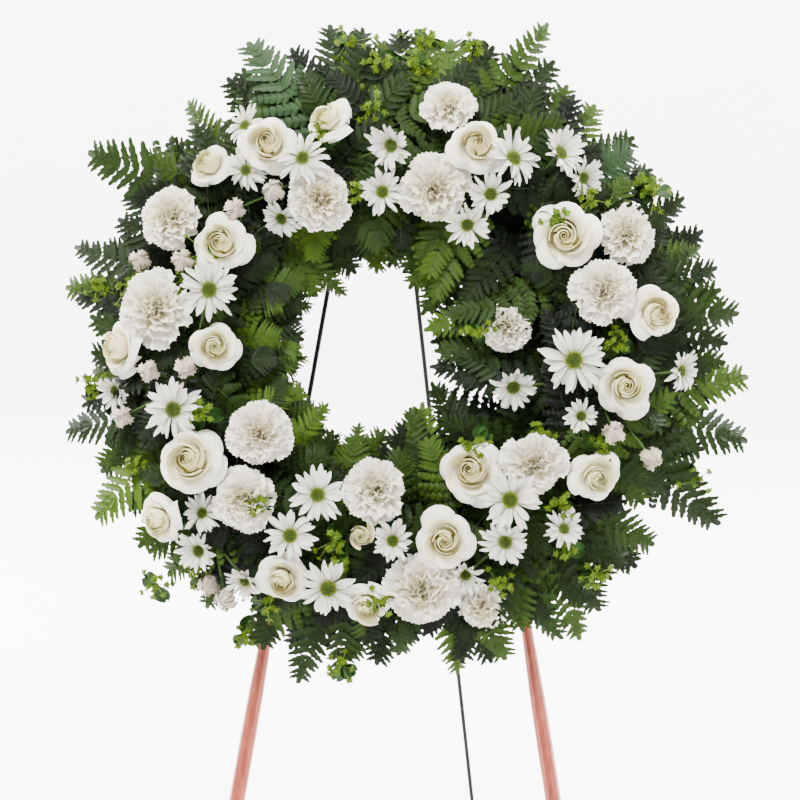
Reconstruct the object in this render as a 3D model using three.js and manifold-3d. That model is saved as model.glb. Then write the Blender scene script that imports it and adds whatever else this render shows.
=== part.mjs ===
// Funeral wreath of white roses, carnations, daisy mums and fern on a folding tripod easel.
// Millimetres, Z up, the front faces -Y. The wreath and the front legs share one leaning plane.
import * as THREE from 'three';
import { mergeVertices } from 'three/addons/utils/BufferGeometryUtils.js';
import Module from 'manifold-3d';

const wasm = await Module();
wasm.setup();

// Easel: upper rods plug into tapered lower legs, and a rear leg hinges at the head
const LEAN = THREE.MathUtils.degToRad(10);
const RING_TO_FLOOR = 1003;
const HEAD_RISE = 292;
const HALF_SPREAD = 86;
const SPREAD_SLOPE = 0.167;
const ROD_RADIUS = 2.5;
const SOCKET_TOP = -248;
const SOCKET_DEPTH = 30;
const LEG_TAPER = [[0, 4.6], [42, 5.9], [71, 6.8], [106, 7.7], [153, 8.1]];
const LEG_SIDES = 10;
const HEAD_PLATE = { width: 92, height: 26, thickness: 5 };
const HINGE = { u: -12, drop: 6, back: 9, pin: 2.5, sleeve: 6, half: 5, lug: 3, heel: 8 };
const REAR_FOOT = { u: 90, back: 740 };
const PEG_ANGLE = THREE.MathUtils.degToRad(60);
const PEG_LENGTH = 34;
const FIT = 0.3;

// Ring: floral foam in a plastic tray. The foam's front face is the plane w = 0.
const FOAM = { inner: 135, outer: 235, depth: 50, shoulder: 12 };
const TRAY = { wall: 2, height: 30 };
const RING_SIDES = 24;
const STEM_RADIUS = 2.2;
const STEM_DEPTH = 28;
const HOLE_PLAY = 0.5;

// Blooms stand on a dome over the foam. Their places are as seen from EYE in front of the ring.
const EYE = 2000;
const DOME = { edge: 44, crown: 26, middle: 195, reach: 100 };

// Greenery grows from hubs, one to each sector of the ring
const SECTORS = 12;
const HUB = { ring: 184, radius: 5, low: 2, high: 10 };
const HUB_TURNS = [0, 0.03, -0.03, 0.06, -0.06, 0.09, -0.09, 0.12, -0.12, 0.16, -0.16];
const HUB_SHIFTS = [0, 7, -7, 14, -14, 21, -21, 28, -28];
const BLADE = 1.2;
const SECTOR_GAP = 0.5;

// A point of the leaning plane: u to the right, v up along it, w out of it towards the front
const at = (u, v, w) => new THREE.Vector3(u, -w, v);
const FRONT = at(0, 0, 1);
const AXIS = new THREE.Vector3(0, 1, 0);
const spread = (v) => HALF_SPREAD - SPREAD_SLOPE * v;

// Roses: u, v, radius, lift from the dome, and how far each faces right and up
const ROSES = [
  [-128, 207, 29, 8, 0, 0.25], [-69, 232, 25, 0, -0.6, 0.6], [84, 206, 28, 12, 0.15, 0.2],
  [-174, 106, 29, 6, -0.1, 0.1], [171, 115, 33, 6, 0, 0], [-280, 0, 29, 2, -1.1, 0],
  [-179, 2, 25, -4, 0.15, 0], [-203, -113, 35, 10, -0.2, 0.2], [262, 40, 28, 2, 0.4, 0.1],
  [233, -33, 29, 4, 0.15, 0], [80, -119, 32, 4, -0.15, 0.2], [206, -124, 26, 0, 0.3, -0.1],
  [57, -190, 30, 12, 0, 0], [-108, -233, 27, 2, -0.1, -0.35], [-237, -174, 26, 0, -0.8, -0.4],
  [-22, -258, 24, -4, 0, -0.6], [-190, 187, 24, -4, -0.5, 0.4], [-28, -186, 13, 2, 0, 0],
];

// Carnations, in the same order of values
const CARNATIONS = [
  [-228, 133, 33, 0, -0.25, 0.15], [-243, 40, 37, 4, -0.25, 0], [-75, 151, 33, 6, 0, 0],
  [53, 247, 27, -2, 0, 0.5], [41, 162, 34, 4, 0, 0], [233, 119, 30, -2, 0.3, 0.2],
  [213, 60, 32, 8, 0.1, 0], [-132, -85, 32, 2, 0.1, 0.1], [-148, -151, 32, 0, 0, 0],
  [-15, -138, 32, 4, 0, 0.2], [32, -242, 37, 2, 0, -0.2], [145, -112, 32, 4, 0, 0],
  [111, 25, 25, -14, -0.2, 0], [92, -256, 26, -10, 0.1, -0.4],
];

// Daisy mums in sprays. Each spray has its heads, in the same order of values, and small buds.
const SPRAYS = [
  {
    hub: [-70, 178],
    daisies: [[-151, 224, 22, 0, -0.5, 0.5], [-90, 191, 27, 16, -0.1, 0.2], [-113, 132, 23, -16, -0.3, -0.5],
      [-149, 180, 22, -4, -0.3, -0.2], [-12, 158, 25, -6, 0.1, 0], [-2, 205, 27, -2, -0.4, -0.3]],
    buds: [[-160, 140, -4], [-121, 158, 4]],
  },
  {
    hub: [122, 152],
    daisies: [[75, 126, 25, 14, 0, -0.3], [97, 156, 25, 0, 0.1, 0], [118, 192, 30, 2, 0.7, 0.3],
      [163, 197, 29, -6, 0.9, 0.5], [186, 174, 24, -10, 0.9, -0.2]],
    buds: [],
  },
  {
    hub: [196, -28],
    daisies: [[182, -8, 35, 4, 0, 0], [120, -34, 27, -8, 0.2, -0.5], [284, -17, 24, -6, 1.2, 0],
      [190, -64, 20, 0, -0.1, 0.1]],
    buds: [[222, -80, 0], [258, -104, -4]],
  },
  {
    hub: [128, -172],
    daisies: [[121, -148, 32, 14, 0, 0], [116, -189, 27, 0, -0.1, -0.3], [172, -176, 22, -6, 0.4, 0.3],
      [76, -222, 22, -10, 0, -0.5]],
    buds: [],
  },
  {
    hub: [-66, -190],
    daisies: [[-61, -238, 33, 0, 0, -0.3], [-99, -187, 29, 4, -0.1, 0], [-72, -146, 29, 6, 0, 0.1],
      [4, -191, 24, 2, 0, 0.1]],
    buds: [],
  },
  {
    hub: [-208, -34],
    daisies: [[-184, 59, 31, 6, 0, -0.1], [-219, -62, 32, 4, -0.1, 0], [-280, -42, 22, -12, -0.5, -0.5]],
    buds: [[-257, 88, -8], [-212, 88, 4], [-245, -24, 10], [-207, -20, 12], [-273, -70, 0]],
  },
  {
    hub: [-178, -192],
    daisies: [[-193, -203, 25, 0, -0.2, -0.2], [-190, -166, 22, -10, -0.2, 0.2], [-146, -232, 22, -8, -0.3, -0.5]],
    buds: [[-166, -252, -6], [-184, -238, -10]],
  },
];

// Fern fronds: where each tip is seen, its w, and the frond's width
const FRONDS = [
  [-71, 330, 0, 66], [-36, 326, 12, 60], [-153, 312, -6, 70], [-96, 279, 30, 60], [149, 330, 4, 60],
  [34, 296, 0, 70], [88, 298, 4, 70], [196, 250, 4, 66], [236, 202, -4, 70], [271, 129, 8, 66],
  [303, 108, -4, 64], [320, 86, 12, 66], [341, 40, 0, 76], [331, 10, 16, 60], [351, -20, 4, 76],
  [351, -84, -4, 80], [296, -128, 10, 70], [324, -170, 6, 84], [261, -190, 10, 70], [206, -258, 4, 76],
  [187, -286, -6, 64], [114, -308, 8, 74], [66, -323, -4, 60], [6, -306, 10, 60], [-51, -326, 4, 60],
  [-96, -336, -4, 66], [-146, -298, 4, 70], [-190, -262, 0, 60], [-231, -229, 8, 76], [-306, -173, 4, 84],
  [-301, -126, -4, 70], [-337, -84, 6, 74], [-311, -22, -4, 70], [-309, 22, -6, 66], [-339, 62, 0, 70],
  [-329, 104, 10, 60], [-318, 199, 4, 90], [-262, 196, 14, 60], [-216, 252, 2, 60],
  [-50, 54, 10, 44], [-22, 84, 4, 46], [30, 58, 14, 50], [62, 40, 26, 46], [70, -6, 10, 44],
  [14, -54, 8, 44], [34, -84, 20, 44], [0, -82, 4, 40], [-36, -70, 8, 44], [-66, -52, 14, 44],
  [-88, -4, 6, 44], [-84, 44, 4, 44],
];

// Hare's-ear clusters: where each is seen, and its w
const CLUSTERS = [
  [-51, 310, 24], [-19, 289, 30], [21, 289, 26], [29, 314, 12], [74, 307, 16], [-72, 220, 66],
  [-24, 241, 50], [-35, 158, 62], [-189, 97, 70], [-210, 73, 60], [-304, 60, 20], [-270, 66, 30],
  [-190, -66, 74], [-312, -36, 20], [-260, -120, 34], [-131, -156, 74], [-126, -253, 40], [-240, -238, 10],
  [-195, -229, 30], [-151, -288, 10], [-51, -316, 20], [-59, -193, 66], [-52, -217, 60], [-14, -253, 60],
  [86, -92, 60], [149, -82, 60], [84, 22, 50], [169, -151, 60], [110, -234, 50], [174, -197, 50],
  [204, -220, 40], [299, -126, 20], [223, 11, 60], [162, 132, 78], [195, 153, 56], [258, 160, 34],
  [246, 168, 26], [206, -96, 60],
];

// Colours from the photograph
const paint = (color, roughness, metalness = 0) => () => new THREE.MeshStandardMaterial({ color, roughness, metalness });
const roseStain = paint(0xd49080, 0.45, 0.2);
const darkSteel = paint(0x1d211d, 0.5, 0.6);
const trayPlastic = paint(0x1f3a22, 0.6);
const foamGreen = paint(0x2f5a34, 0.95);
const rosePetal = paint(0xe6dcb8, 0.6);
const carnationPetal = paint(0xeee8d8, 0.7);
const daisyPetal = paint(0xf0efe8, 0.6);
const fernGreen = paint(0x2f4a1c, 0.6);

// The leaning group stands with its front feet on the floor, at y = 0
const TRAY_BACK = -FOAM.depth - FIT - TRAY.wall;
const ROD_W = TRAY_BACK - FIT - ROD_RADIUS;
const PLATE_W = ROD_W - ROD_RADIUS - FIT - HEAD_PLATE.thickness / 2;
const wreath = new THREE.Group();
wreath.rotation.x = -LEAN;
wreath.position.copy(at(0, -RING_TO_FLOOR, ROD_W).applyAxisAngle(new THREE.Vector3(1, 0, 0), -LEAN).negate());
wreath.updateMatrix();
const toLeaning = wreath.matrix.clone().invert();

function addMesh(name, body, material) {
  const { vertProperties, triVerts } = body.getMesh();
  const geometry = new THREE.BufferGeometry();
  geometry.setAttribute('position', new THREE.BufferAttribute(vertProperties, 3));
  geometry.setIndex(new THREE.BufferAttribute(triVerts, 1));
  geometry.computeVertexNormals();
  const mesh = new THREE.Mesh(geometry, material());
  mesh.name = name;
  wreath.add(mesh);
}

// Turns a closed three.js geometry into a solid with its faces pointing out
function solid(geometry) {
  const bare = geometry.clone();
  bare.deleteAttribute('normal');
  bare.deleteAttribute('uv');
  const merged = mergeVertices(bare, 1e-4);
  const vertProperties = Float32Array.from(merged.attributes.position.array);
  const corner = (i) => new THREE.Vector3().fromArray(vertProperties, 3 * i);
  const faces = [];
  let volume = 0;
  for (let i = 0; i < merged.index.count; i += 3) {
    const [a, b, c] = merged.index.array.slice(i, i + 3);
    if (a !== b && b !== c && c !== a) {
      faces.push([a, b, c]);
      volume += corner(a).dot(corner(b).cross(corner(c)));
    }
  }
  const triVerts = Uint32Array.from(faces.flatMap((face) => (volume < 0 ? face.reverse() : face)));
  return new wasm.Manifold(new wasm.Mesh({ numProp: 3, vertProperties, triVerts }));
}

const join = (bodies) => wasm.Manifold.union(bodies);

// The largest of the bodies that a cut leaves
function largest(body) {
  return body.decompose().sort((a, b) => b.volume() - a.volume())[0];
}

// A lathe about the ring's axis, from a closed profile of radius and w
function ringSolid(profile) {
  const points = [...profile, profile[0]].map(([radius, w]) => new THREE.Vector2(radius, -w));
  return solid(new THREE.LatheGeometry(points, RING_SIDES));
}

// A straight rod between two points
function rodSolid(from, to, radius, sides) {
  const geometry = new THREE.CylinderGeometry(radius, radius, from.distanceTo(to), sides);
  geometry.applyQuaternion(new THREE.Quaternion().setFromUnitVectors(AXIS, to.clone().sub(from).normalize()));
  geometry.translate(...from.clone().add(to).divideScalar(2).toArray());
  return solid(geometry);
}

// A round bar along a curve
function barSolid(curve, radius, sides, steps) {
  const round = new THREE.Shape();
  for (let i = 0; i < sides; i += 1) {
    const angle = (2 * Math.PI * i) / sides;
    round[i === 0 ? 'moveTo' : 'lineTo'](radius * Math.cos(angle), radius * Math.sin(angle));
  }
  round.closePath();
  return solid(new THREE.ExtrudeGeometry(round, { extrudePath: curve, steps, bevelEnabled: false }));
}

// A box by its centre, with sizes along u, v and w
function boxSolid(centre, [u, v, w]) {
  const geometry = new THREE.BoxGeometry(u, w, v);
  geometry.translate(...centre.toArray());
  return solid(geometry);
}

// A thin blade round a middle surface. Its sharp points have no thickness.
function bladeSolid(points, faces, thickness, sharp) {
  const normals = points.map(() => new THREE.Vector3());
  for (const face of faces) {
    const [a, b, c] = face.map((i) => points[i]);
    const normal = b.clone().sub(a).cross(c.clone().sub(a));
    face.forEach((i) => normals[i].add(normal));
  }
  const count = points.length;
  const under = (i) => (sharp.has(i) ? i : count + i);
  const side = (sign) => points.map((point, i) => {
    const offset = sharp.has(i) ? 0 : (sign * thickness) / 2;
    return point.clone().addScaledVector(normals[i].normalize(), offset);
  });
  const index = [];
  const edges = new Map();
  for (const [a, b, c] of faces) {
    index.push(a, b, c, under(c), under(b), under(a));
    [[a, b], [b, c], [c, a]].forEach((edge) => edges.set(edge.join(), edge));
  }
  for (const [p, q] of edges.values()) {
    if (!edges.has([q, p].join())) {
      index.push(q, p, under(p), q, under(p), under(q));
    }
  }
  const geometry = new THREE.BufferGeometry().setFromPoints([...side(1), ...side(-1)]);
  geometry.setIndex(index);
  return solid(geometry);
}

// What is already placed: heads as flattened balls, and stems as rods, each with its owner's name
const balls = [];
const rods = [];
const stems = [];

function isClear(point, margin, owner) {
  const nearest = new THREE.Vector3();
  const offset = new THREE.Vector3();
  const hitsBall = balls.some((ball) => {
    if (ball.owner === owner) {
      return false;
    }
    offset.subVectors(point, ball.centre);
    const along = offset.dot(ball.facing);
    const across = Math.sqrt(Math.max(0, offset.lengthSq() - along * along));
    return (across / (ball.radius + margin)) ** 2 + (along / (ball.depth + margin)) ** 2 < 1;
  });
  if (hitsBall) {
    return false;
  }
  return !rods.some((rod) => {
    rod.line.closestPointToPoint(point, true, nearest);
    return rod.owner !== owner && nearest.distanceTo(point) < rod.radius + margin;
  });
}

// How many points of a path are blocked
function blocked(path, margin, owner, inside = () => true) {
  return path.filter((point) => !isClear(point, margin, owner) || !inside(point)).length;
}

function samples(curve, count, from = 0) {
  return Array.from({ length: count + 1 }, (_, i) => curve.getPoint(from + ((1 - from) * i) / count));
}

function addRod(from, to, radius, owner) {
  rods.push({ line: new THREE.Line3(from, to), radius, owner });
}

// The height of the dome over the foam at a place
function dome(u, v) {
  const off = Math.min(1, Math.abs(Math.hypot(u, v) - DOME.middle) / DOME.reach);
  return DOME.edge + DOME.crown * Math.cos((off * Math.PI) / 2);
}

// A place as seen from the front, drawn in towards the eye by its w
const seen = (u, v, w) => at(u * (1 - w / EYE), v * (1 - w / EYE), w);

// A bloom's place and facing, from its row of values
function standAt([u, v, radius, lift, right, up]) {
  const centre = seen(u, v, dome(u, v) + lift);
  const facing = at(right, up, 1).normalize();
  const side = new THREE.Vector3(0, 0, 1).cross(facing).negate().normalize();
  const turn = new THREE.Matrix4().makeBasis(side, facing.clone().cross(side), facing);
  return { centre, facing, radius, turn: turn.setPosition(centre) };
}

// A straight stem from a head into the foam, its entry moved until it clears the others
function plantStem(head, owner) {
  const angle = Math.atan2(head.z, head.x);
  const ring = THREE.MathUtils.clamp(Math.hypot(head.x, head.z), 152, 218);
  const tries = [0, 1, -1, 2, -2, 3, -3].flatMap((turn) => [0, -9, 9, -18, 18].map((shift) => {
    const entryRing = THREE.MathUtils.clamp(ring + shift, 148, 222);
    const turned = angle + turn * 0.04;
    const entry = at(entryRing * Math.cos(turned), entryRing * Math.sin(turned), 0);
    const along = entry.clone().sub(head).normalize();
    const end = entry.clone().addScaledVector(along, STEM_DEPTH);
    const path = samples(new THREE.LineCurve3(head, end), 28, 0.1);
    return { entry, end, along, hits: blocked(path, STEM_RADIUS + 0.8, owner) };
  }));
  const best = tries.reduce((a, b) => (b.hits < a.hits ? b : a));
  addRod(head, best.end, STEM_RADIUS, owner);
  stems.push({ from: best.entry.clone().addScaledVector(best.along, -12), to: best.end, along: best.along });
  return rodSolid(head, best.end, STEM_RADIUS, 4);
}

// A petal as a lens: a rim of sharp points round a thick middle, drawn in until it clears its neighbours
function petalSolid(rim, middle, thickness, turn, owner) {
  const root = rim[0].clone().applyMatrix4(turn);
  const place = (point, reach) => point.clone().applyMatrix4(turn).sub(root).multiplyScalar(reach).add(root);
  const reaches = [1, 0.9, 0.8, 0.7, 0.6, 0.5];
  const reach = reaches.find((value) => rim.slice(1).every((p) => isClear(place(p, value), 0.8, owner)));
  if (reach === undefined) {
    return [];
  }
  const points = [place(middle, reach), ...rim.map((point) => place(point, reach))];
  const faces = rim.map((_, i) => [0, 1 + i, 1 + ((i + 1) % rim.length)]);
  return [bladeSolid(points, faces, thickness, new Set(rim.map((_, i) => i + 1)))];
}

// A point round the bloom's axis
const polar = (radius, angle, height) => new THREE.Vector3(
  radius * Math.cos(angle),
  radius * Math.sin(angle),
  height,
);

// A faceted core turned about the bloom's axis, from a profile of radius and height
function coreSolid(profile, sides, turn) {
  const geometry = new THREE.LatheGeometry(profile.map(([radius, height]) => new THREE.Vector2(radius, height)), sides);
  geometry.rotateX(Math.PI / 2);
  geometry.applyMatrix4(turn);
  return solid(geometry);
}

// A rose: a pointed bud in rings of petals that open outwards
function roseSolid(row, owner) {
  const { centre, radius: r, turn } = standAt(row);
  const core = coreSolid([[0, -0.7 * r], [0.36 * r, -0.35 * r], [0.4 * r, 0.1 * r], [0, 0.34 * r]], 4, turn);
  const layers = [
    { count: 2, root: 0.2, side: 0.54, rim: 0.56, top: 0.5, half: 1.2, phase: 0.3 },
    { count: 4, root: 0.15, side: 0.94, rim: 1, top: 0.2, half: 0.62, phase: 0 },
  ];
  const petals = layers.flatMap((layer) => Array.from({ length: layer.count }, (_, i) => {
    const angle = layer.phase + (2 * Math.PI * i) / layer.count;
    const rim = [
      polar(layer.root * r, angle, -0.45 * r),
      polar(layer.side * r, angle + layer.half, layer.top * 0.8 * r),
      polar(layer.rim * r, angle, layer.top * r),
      polar(layer.side * r, angle - layer.half, layer.top * 0.8 * r),
    ];
    const middle = polar(layer.rim * 0.86 * r, angle, (layer.top - 0.25) * r);
    return petalSolid(rim, middle, 1.8, turn, owner);
  }).flat());
  return join([core, ...petals, plantStem(centre.clone(), owner)]);
}

// A carnation: crowded fans with notched edges round a small core
function carnationSolid(row, owner) {
  const { centre, radius: r, turn } = standAt(row);
  const core = coreSolid([[0, -0.75 * r], [0.4 * r, -0.3 * r], [0.4 * r, 0.1 * r], [0, 0.32 * r]], 4, turn);
  const layers = [
    { count: 4, tilt: 0.95, reach: 0.86, half: 0.6, phase: 0.8 },
    { count: 4, tilt: 0.2, reach: 1, half: 0.6, phase: 0 },
  ];
  const petals = layers.flatMap((layer) => Array.from({ length: layer.count }, (_, i) => {
    const angle = layer.phase + (2 * Math.PI * i) / layer.count;
    const out = layer.reach * r * Math.cos(layer.tilt);
    const rise = layer.reach * r * Math.sin(layer.tilt) * 0.75;
    const rim = [
      polar(0.12 * r, angle, -0.12 * r),
      polar(out * 0.95 + 0.1 * r, angle + layer.half, rise * 0.86),
      polar(out * 0.82, angle, rise * 0.9 - 0.06 * r),
      polar(out * 0.95 + 0.1 * r, angle - layer.half, rise),
    ];
    const middle = polar(out * 0.6, angle, rise * 0.55 + 0.06 * r);
    return petalSolid(rim, middle, 1.8, turn, owner);
  }).flat());
  return join([core, ...petals, plantStem(centre.clone(), owner)]);
}

// A star of narrow petals cut to a raised eye, as a thin double pyramid
function starSolid(turn, radius, count, eye, rise, owner) {
  const outline = Array.from({ length: 2 * count }, (_, i) => {
    const angle = (Math.PI * i) / count;
    if (i % 2 === 1) {
      return polar(eye, angle, 0).applyMatrix4(turn);
    }
    const reach = [1, 0.85, 0.7, 0.55, 0.45].find((value) => (
      isClear(polar(radius * value, angle, rise * value).applyMatrix4(turn), 1.4, owner)
    )) ?? 0.35;
    return polar(radius * reach, angle, rise * reach).applyMatrix4(turn);
  });
  const points = [
    polar(0, 0, eye * 0.5).applyMatrix4(turn),
    polar(0, 0, -eye * 0.4).applyMatrix4(turn),
    ...outline,
  ];
  const index = outline.flatMap((_, i) => {
    const next = (i + 1) % outline.length;
    return [0, 2 + i, 2 + next, 1, 2 + next, 2 + i];
  });
  const geometry = new THREE.BufferGeometry().setFromPoints(points);
  geometry.setIndex(index);
  return solid(geometry);
}

// A curved stalk from a hub, bent to the side or up or down until it clears what stands in its way
function clearCurve(root, tip, rise, margin, owner, inside) {
  const along = tip.clone().sub(root);
  const side = along.clone().cross(FRONT).normalize();
  const middle = root.clone().add(tip).multiplyScalar(0.5);
  const curves = [0, 8, -8, 16, -16, 24, -24, 34, -34].flatMap((shift) => [0, 9, -9, 18].map((lift) => {
    const bend = middle.clone().addScaledVector(side, shift).addScaledVector(FRONT, rise + lift);
    return new THREE.QuadraticBezierCurve3(root, bend, tip);
  }));
  if (rise === 0) {
    curves.unshift(new THREE.LineCurve3(root, tip));
  }
  const tries = curves.map((curve) => {
    const stops = samples(curve, rise === 0 ? 2 : 6);
    const path = stops.slice(1).flatMap((stop, i) => samples(new THREE.LineCurve3(stops[i], stop), 16));
    return { curve, hits: blocked(path, margin, owner, inside) };
  });
  return tries.reduce((a, b) => (b.hits < a.hits ? b : a));
}

// The place for a hub on the foam's face, moved until its disc and its stem clear the others
function hubPlace(ring, angle, owner, inside = () => true) {
  const tries = HUB_TURNS.flatMap((turn) => HUB_SHIFTS.map((shift) => {
    const placed = THREE.MathUtils.clamp(ring + shift, 152, 219);
    const turned = angle + turn;
    const foot = (w) => at(placed * Math.cos(turned), placed * Math.sin(turned), w);
    const above = blocked([0, 3, 6, 9, 11].map(foot), HUB.radius + 0.8, owner, inside);
    const below = blocked([-3, -8, -13, -18, -23, -28].map(foot), STEM_RADIUS + 0.8, owner, inside);
    return { hub: foot(0), hits: above + below };
  }));
  return tries.reduce((a, b) => (b.hits < a.hits ? b : a)).hub;
}

// A hub with its stem pushed into the foam below it
function hubSolid(hub, owner) {
  const top = at(hub.x, hub.z, HUB.high);
  const low = at(hub.x, hub.z, HUB.low);
  const end = at(hub.x, hub.z, -STEM_DEPTH);
  addRod(top, low, HUB.radius, owner);
  addRod(low, end, STEM_RADIUS, owner);
  stems.push({ from: at(hub.x, hub.z, 10), to: end, along: FRONT.clone().negate() });
  return join([rodSolid(top, low, HUB.radius, 4), rodSolid(top, end, STEM_RADIUS, 4)]);
}

// A stalk along a curve, noted as a row of rods
function stalkSolid(curve, radius, owner) {
  const steps = curve.isLineCurve3 ? 1 : 2;
  const points = samples(curve, steps);
  points.slice(1).forEach((point, i) => addRod(points[i], point, radius, owner));
  return barSolid(curve, radius, 3, steps);
}

// A spray of daisy mums and buds on stalks from one hub
function spraySolid(spray, owner) {
  const [hubU, hubV] = spray.hub;
  const hub = hubPlace(Math.hypot(hubU, hubV), Math.atan2(hubV, hubU), owner);
  const root = at(hub.x, hub.z, HUB.high - 4);
  const bodies = [hubSolid(hub, owner)];
  for (const row of spray.daisies) {
    const { centre, facing, turn, radius } = standAt(row);
    const { curve } = clearCurve(root, centre.clone().addScaledVector(facing, -1), 0, 2.4, owner, () => true);
    bodies.push(starSolid(turn, radius, 8, 0.28 * radius, 0.12 * radius, owner), stalkSolid(curve, 1.4, owner));
  }
  for (const [u, v, lift] of spray.buds) {
    const centre = seen(u, v, dome(u, v) + lift);
    const { curve } = clearCurve(root, centre, 0, 2.4, owner, () => true);
    const turn = new THREE.Matrix4().makeBasis(at(1, 0, 0), at(0, 1, 0), FRONT).setPosition(centre);
    bodies.push(starSolid(turn, 10, 3, 7, 0, owner), stalkSolid(curve, 1.4, owner));
  }
  return join(bodies);
}

// The sector of the ring that a point lies in
function sectorOf(point) {
  const turn = Math.atan2(point.z, point.x) / (2 * Math.PI);
  return Math.floor((turn + 1) * SECTORS) % SECTORS;
}

// True inside a sector, and a little short of its two edges
function insideSector(sector) {
  const edge = (k) => new THREE.Vector2(Math.cos((2 * Math.PI * k) / SECTORS), Math.sin((2 * Math.PI * k) / SECTORS));
  const [first, second] = [edge(sector), edge(sector + 1)];
  return (point) => {
    const flat = new THREE.Vector2(point.x, point.z);
    return first.cross(flat) > SECTOR_GAP && flat.cross(second) > SECTOR_GAP;
  };
}

// Points spread over a triangle, from its base to its tip
function triangleSamples(near, far, tip) {
  return [0.04, 0.2, 0.36, 0.52, 0.68, 0.84, 1].flatMap((rise) => [0, 0.2, 0.4, 0.6, 0.8, 1].map((across) => (
    near.clone().lerp(far, across).lerp(tip, rise)
  )));
}

// A fern frond: one thin arched blade, cut to its rib into pairs of leaflets
function frondSolid(curve, width, owner, inside) {
  const bare = 0.3;
  const length = curve.getLength();
  const pairs = Math.max(3, Math.round((length * (1 - bare)) / 34));
  const half = 1.3;
  const points = [];
  const faces = [];
  const sharp = new Set();
  const frame = (t) => {
    const point = curve.getPoint(t);
    const tangent = curve.getTangent(t);
    const normal = FRONT.clone().addScaledVector(tangent, -FRONT.dot(tangent)).normalize();
    return { point, tangent, normal, side: tangent.clone().cross(normal) };
  };
  const addPair = (t, before) => {
    const { point, side } = frame(t);
    const here = points.length;
    points.push(point.clone().addScaledVector(side, -half), point.clone().addScaledVector(side, half));
    if (before !== undefined) {
      faces.push([before, before + 1, here + 1], [before, here + 1, here]);
    }
    return here;
  };
  let left = addPair(bare, addPair(0));
  for (let i = 0; i < pairs; i += 1) {
    const along = (i + 0.5) / (pairs + 0.5);
    const next = addPair(bare + ((1 - bare) * (i + 1)) / (pairs + 0.5), left);
    const reach = (width / 2) * (along < 0.2 ? 0.7 + 1.5 * along : 1.12 - along);
    const { point, side, tangent, normal } = frame(bare + (1 - bare) * along);
    for (const sign of [-1, 1]) {
      const tipAt = (scale) => point.clone()
        .addScaledVector(side, sign * reach * scale)
        .addScaledVector(tangent, reach * scale * 0.35)
        .addScaledVector(normal, -reach * scale * 0.12);
      const [near, far] = sign < 0 ? [left, next] : [left + 1, next + 1];
      const scale = [1, 0.8, 0.6, 0.45].find((value) => (
        blocked(triangleSamples(points[near], points[far], tipAt(value)), 1, owner, inside) === 0
      ));
      if (scale) {
        points.push(tipAt(scale));
        const tip = points.length - 1;
        sharp.add(tip);
        faces.push(sign < 0 ? [near, far, tip] : [near, tip, far]);
      }
    }
    left = next;
  }
  points.push(curve.getPoint(1));
  sharp.add(points.length - 1);
  faces.push([left, left + 1, points.length - 1]);
  return bladeSolid(points, faces, BLADE, sharp);
}

// All the greenery of one sector
function greenerySolid(sector, owner) {
  const angle = (2 * Math.PI * (sector + 0.5)) / SECTORS;
  const inside = insideSector(sector);
  const hub = hubPlace(HUB.ring, angle, owner, inside);
  const root = at(hub.x, hub.z, HUB.high - 4);
  const bodies = [hubSolid(hub, owner)];
  for (const [u, v, w] of CLUSTERS) {
    const centre = seen(u, v, w);
    if (sectorOf(centre) === sector) {
      const { curve, hits } = clearCurve(root, centre, 0, 2, owner, inside);
      if (hits === 0) {
        const turn = new THREE.Matrix4().makeBasis(at(1, 0, 0), at(0, 1, 0), FRONT).setPosition(centre);
        bodies.push(starSolid(turn, 11, 3, 5, 3, owner), stalkSolid(curve, 1, owner));
      }
    }
  }
  for (const [u, v, w, width] of FRONDS) {
    const tip = seen(u, v, w);
    if (sectorOf(tip) === sector) {
      const { curve, hits } = clearCurve(root, tip, 16, 2.2, owner, inside);
      if (hits === 0) {
        bodies.push(frondSolid(curve, width, owner, inside));
      }
    }
  }
  return largest(join(bodies));
}

// The foam ring, with a plain hole for each stem
function foamSolid() {
  const { inner, outer, depth, shoulder } = FOAM;
  const ring = ringSolid([
    [inner, -depth], [outer, -depth], [outer, -shoulder],
    [outer - shoulder, 0], [inner + shoulder, 0], [inner, -shoulder],
  ]);
  const holes = stems.map(({ from, to, along }) => (
    rodSolid(from, to.clone().addScaledVector(along, 2), STEM_RADIUS + HOLE_PLAY, 4)
  ));
  return ring.subtract(join(holes));
}

// The tray, a channel that holds the foam
function traySolid() {
  const inner = FOAM.inner - FIT;
  const outer = FOAM.outer + FIT;
  const floor = -FOAM.depth - FIT;
  const top = floor + TRAY.height;
  return ringSolid([
    [inner - TRAY.wall, floor - TRAY.wall], [outer + TRAY.wall, floor - TRAY.wall], [outer + TRAY.wall, top],
    [outer, top], [outer, floor], [inner, floor], [inner, top], [inner - TRAY.wall, top],
  ]);
}

// Everything under the floor, to cut the feet level
function floorSolid() {
  const slab = new THREE.BoxGeometry(1200, 2400, 100);
  slab.translate(0, 0, -50);
  slab.applyMatrix4(toLeaning);
  return solid(slab);
}

// A front leg's upper rod, with a peg under the tray
function frontRodSolid(sign) {
  const top = HEAD_RISE + HEAD_PLATE.height / 2 - 2;
  const foot = SOCKET_TOP - SOCKET_DEPTH + 2;
  const rod = rodSolid(at(sign * spread(top), top, ROD_W), at(sign * spread(foot), foot, ROD_W), ROD_RADIUS, 8);
  const reach = FOAM.outer + FIT + TRAY.wall + FIT + ROD_RADIUS;
  const pegV = -reach * Math.sin(PEG_ANGLE);
  const pegU = sign * reach * Math.cos(PEG_ANGLE);
  const peg = rodSolid(at(pegU, pegV, ROD_W), at(pegU, pegV, ROD_W + PEG_LENGTH), ROD_RADIUS, 8);
  return join([rod, peg]);
}

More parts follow.
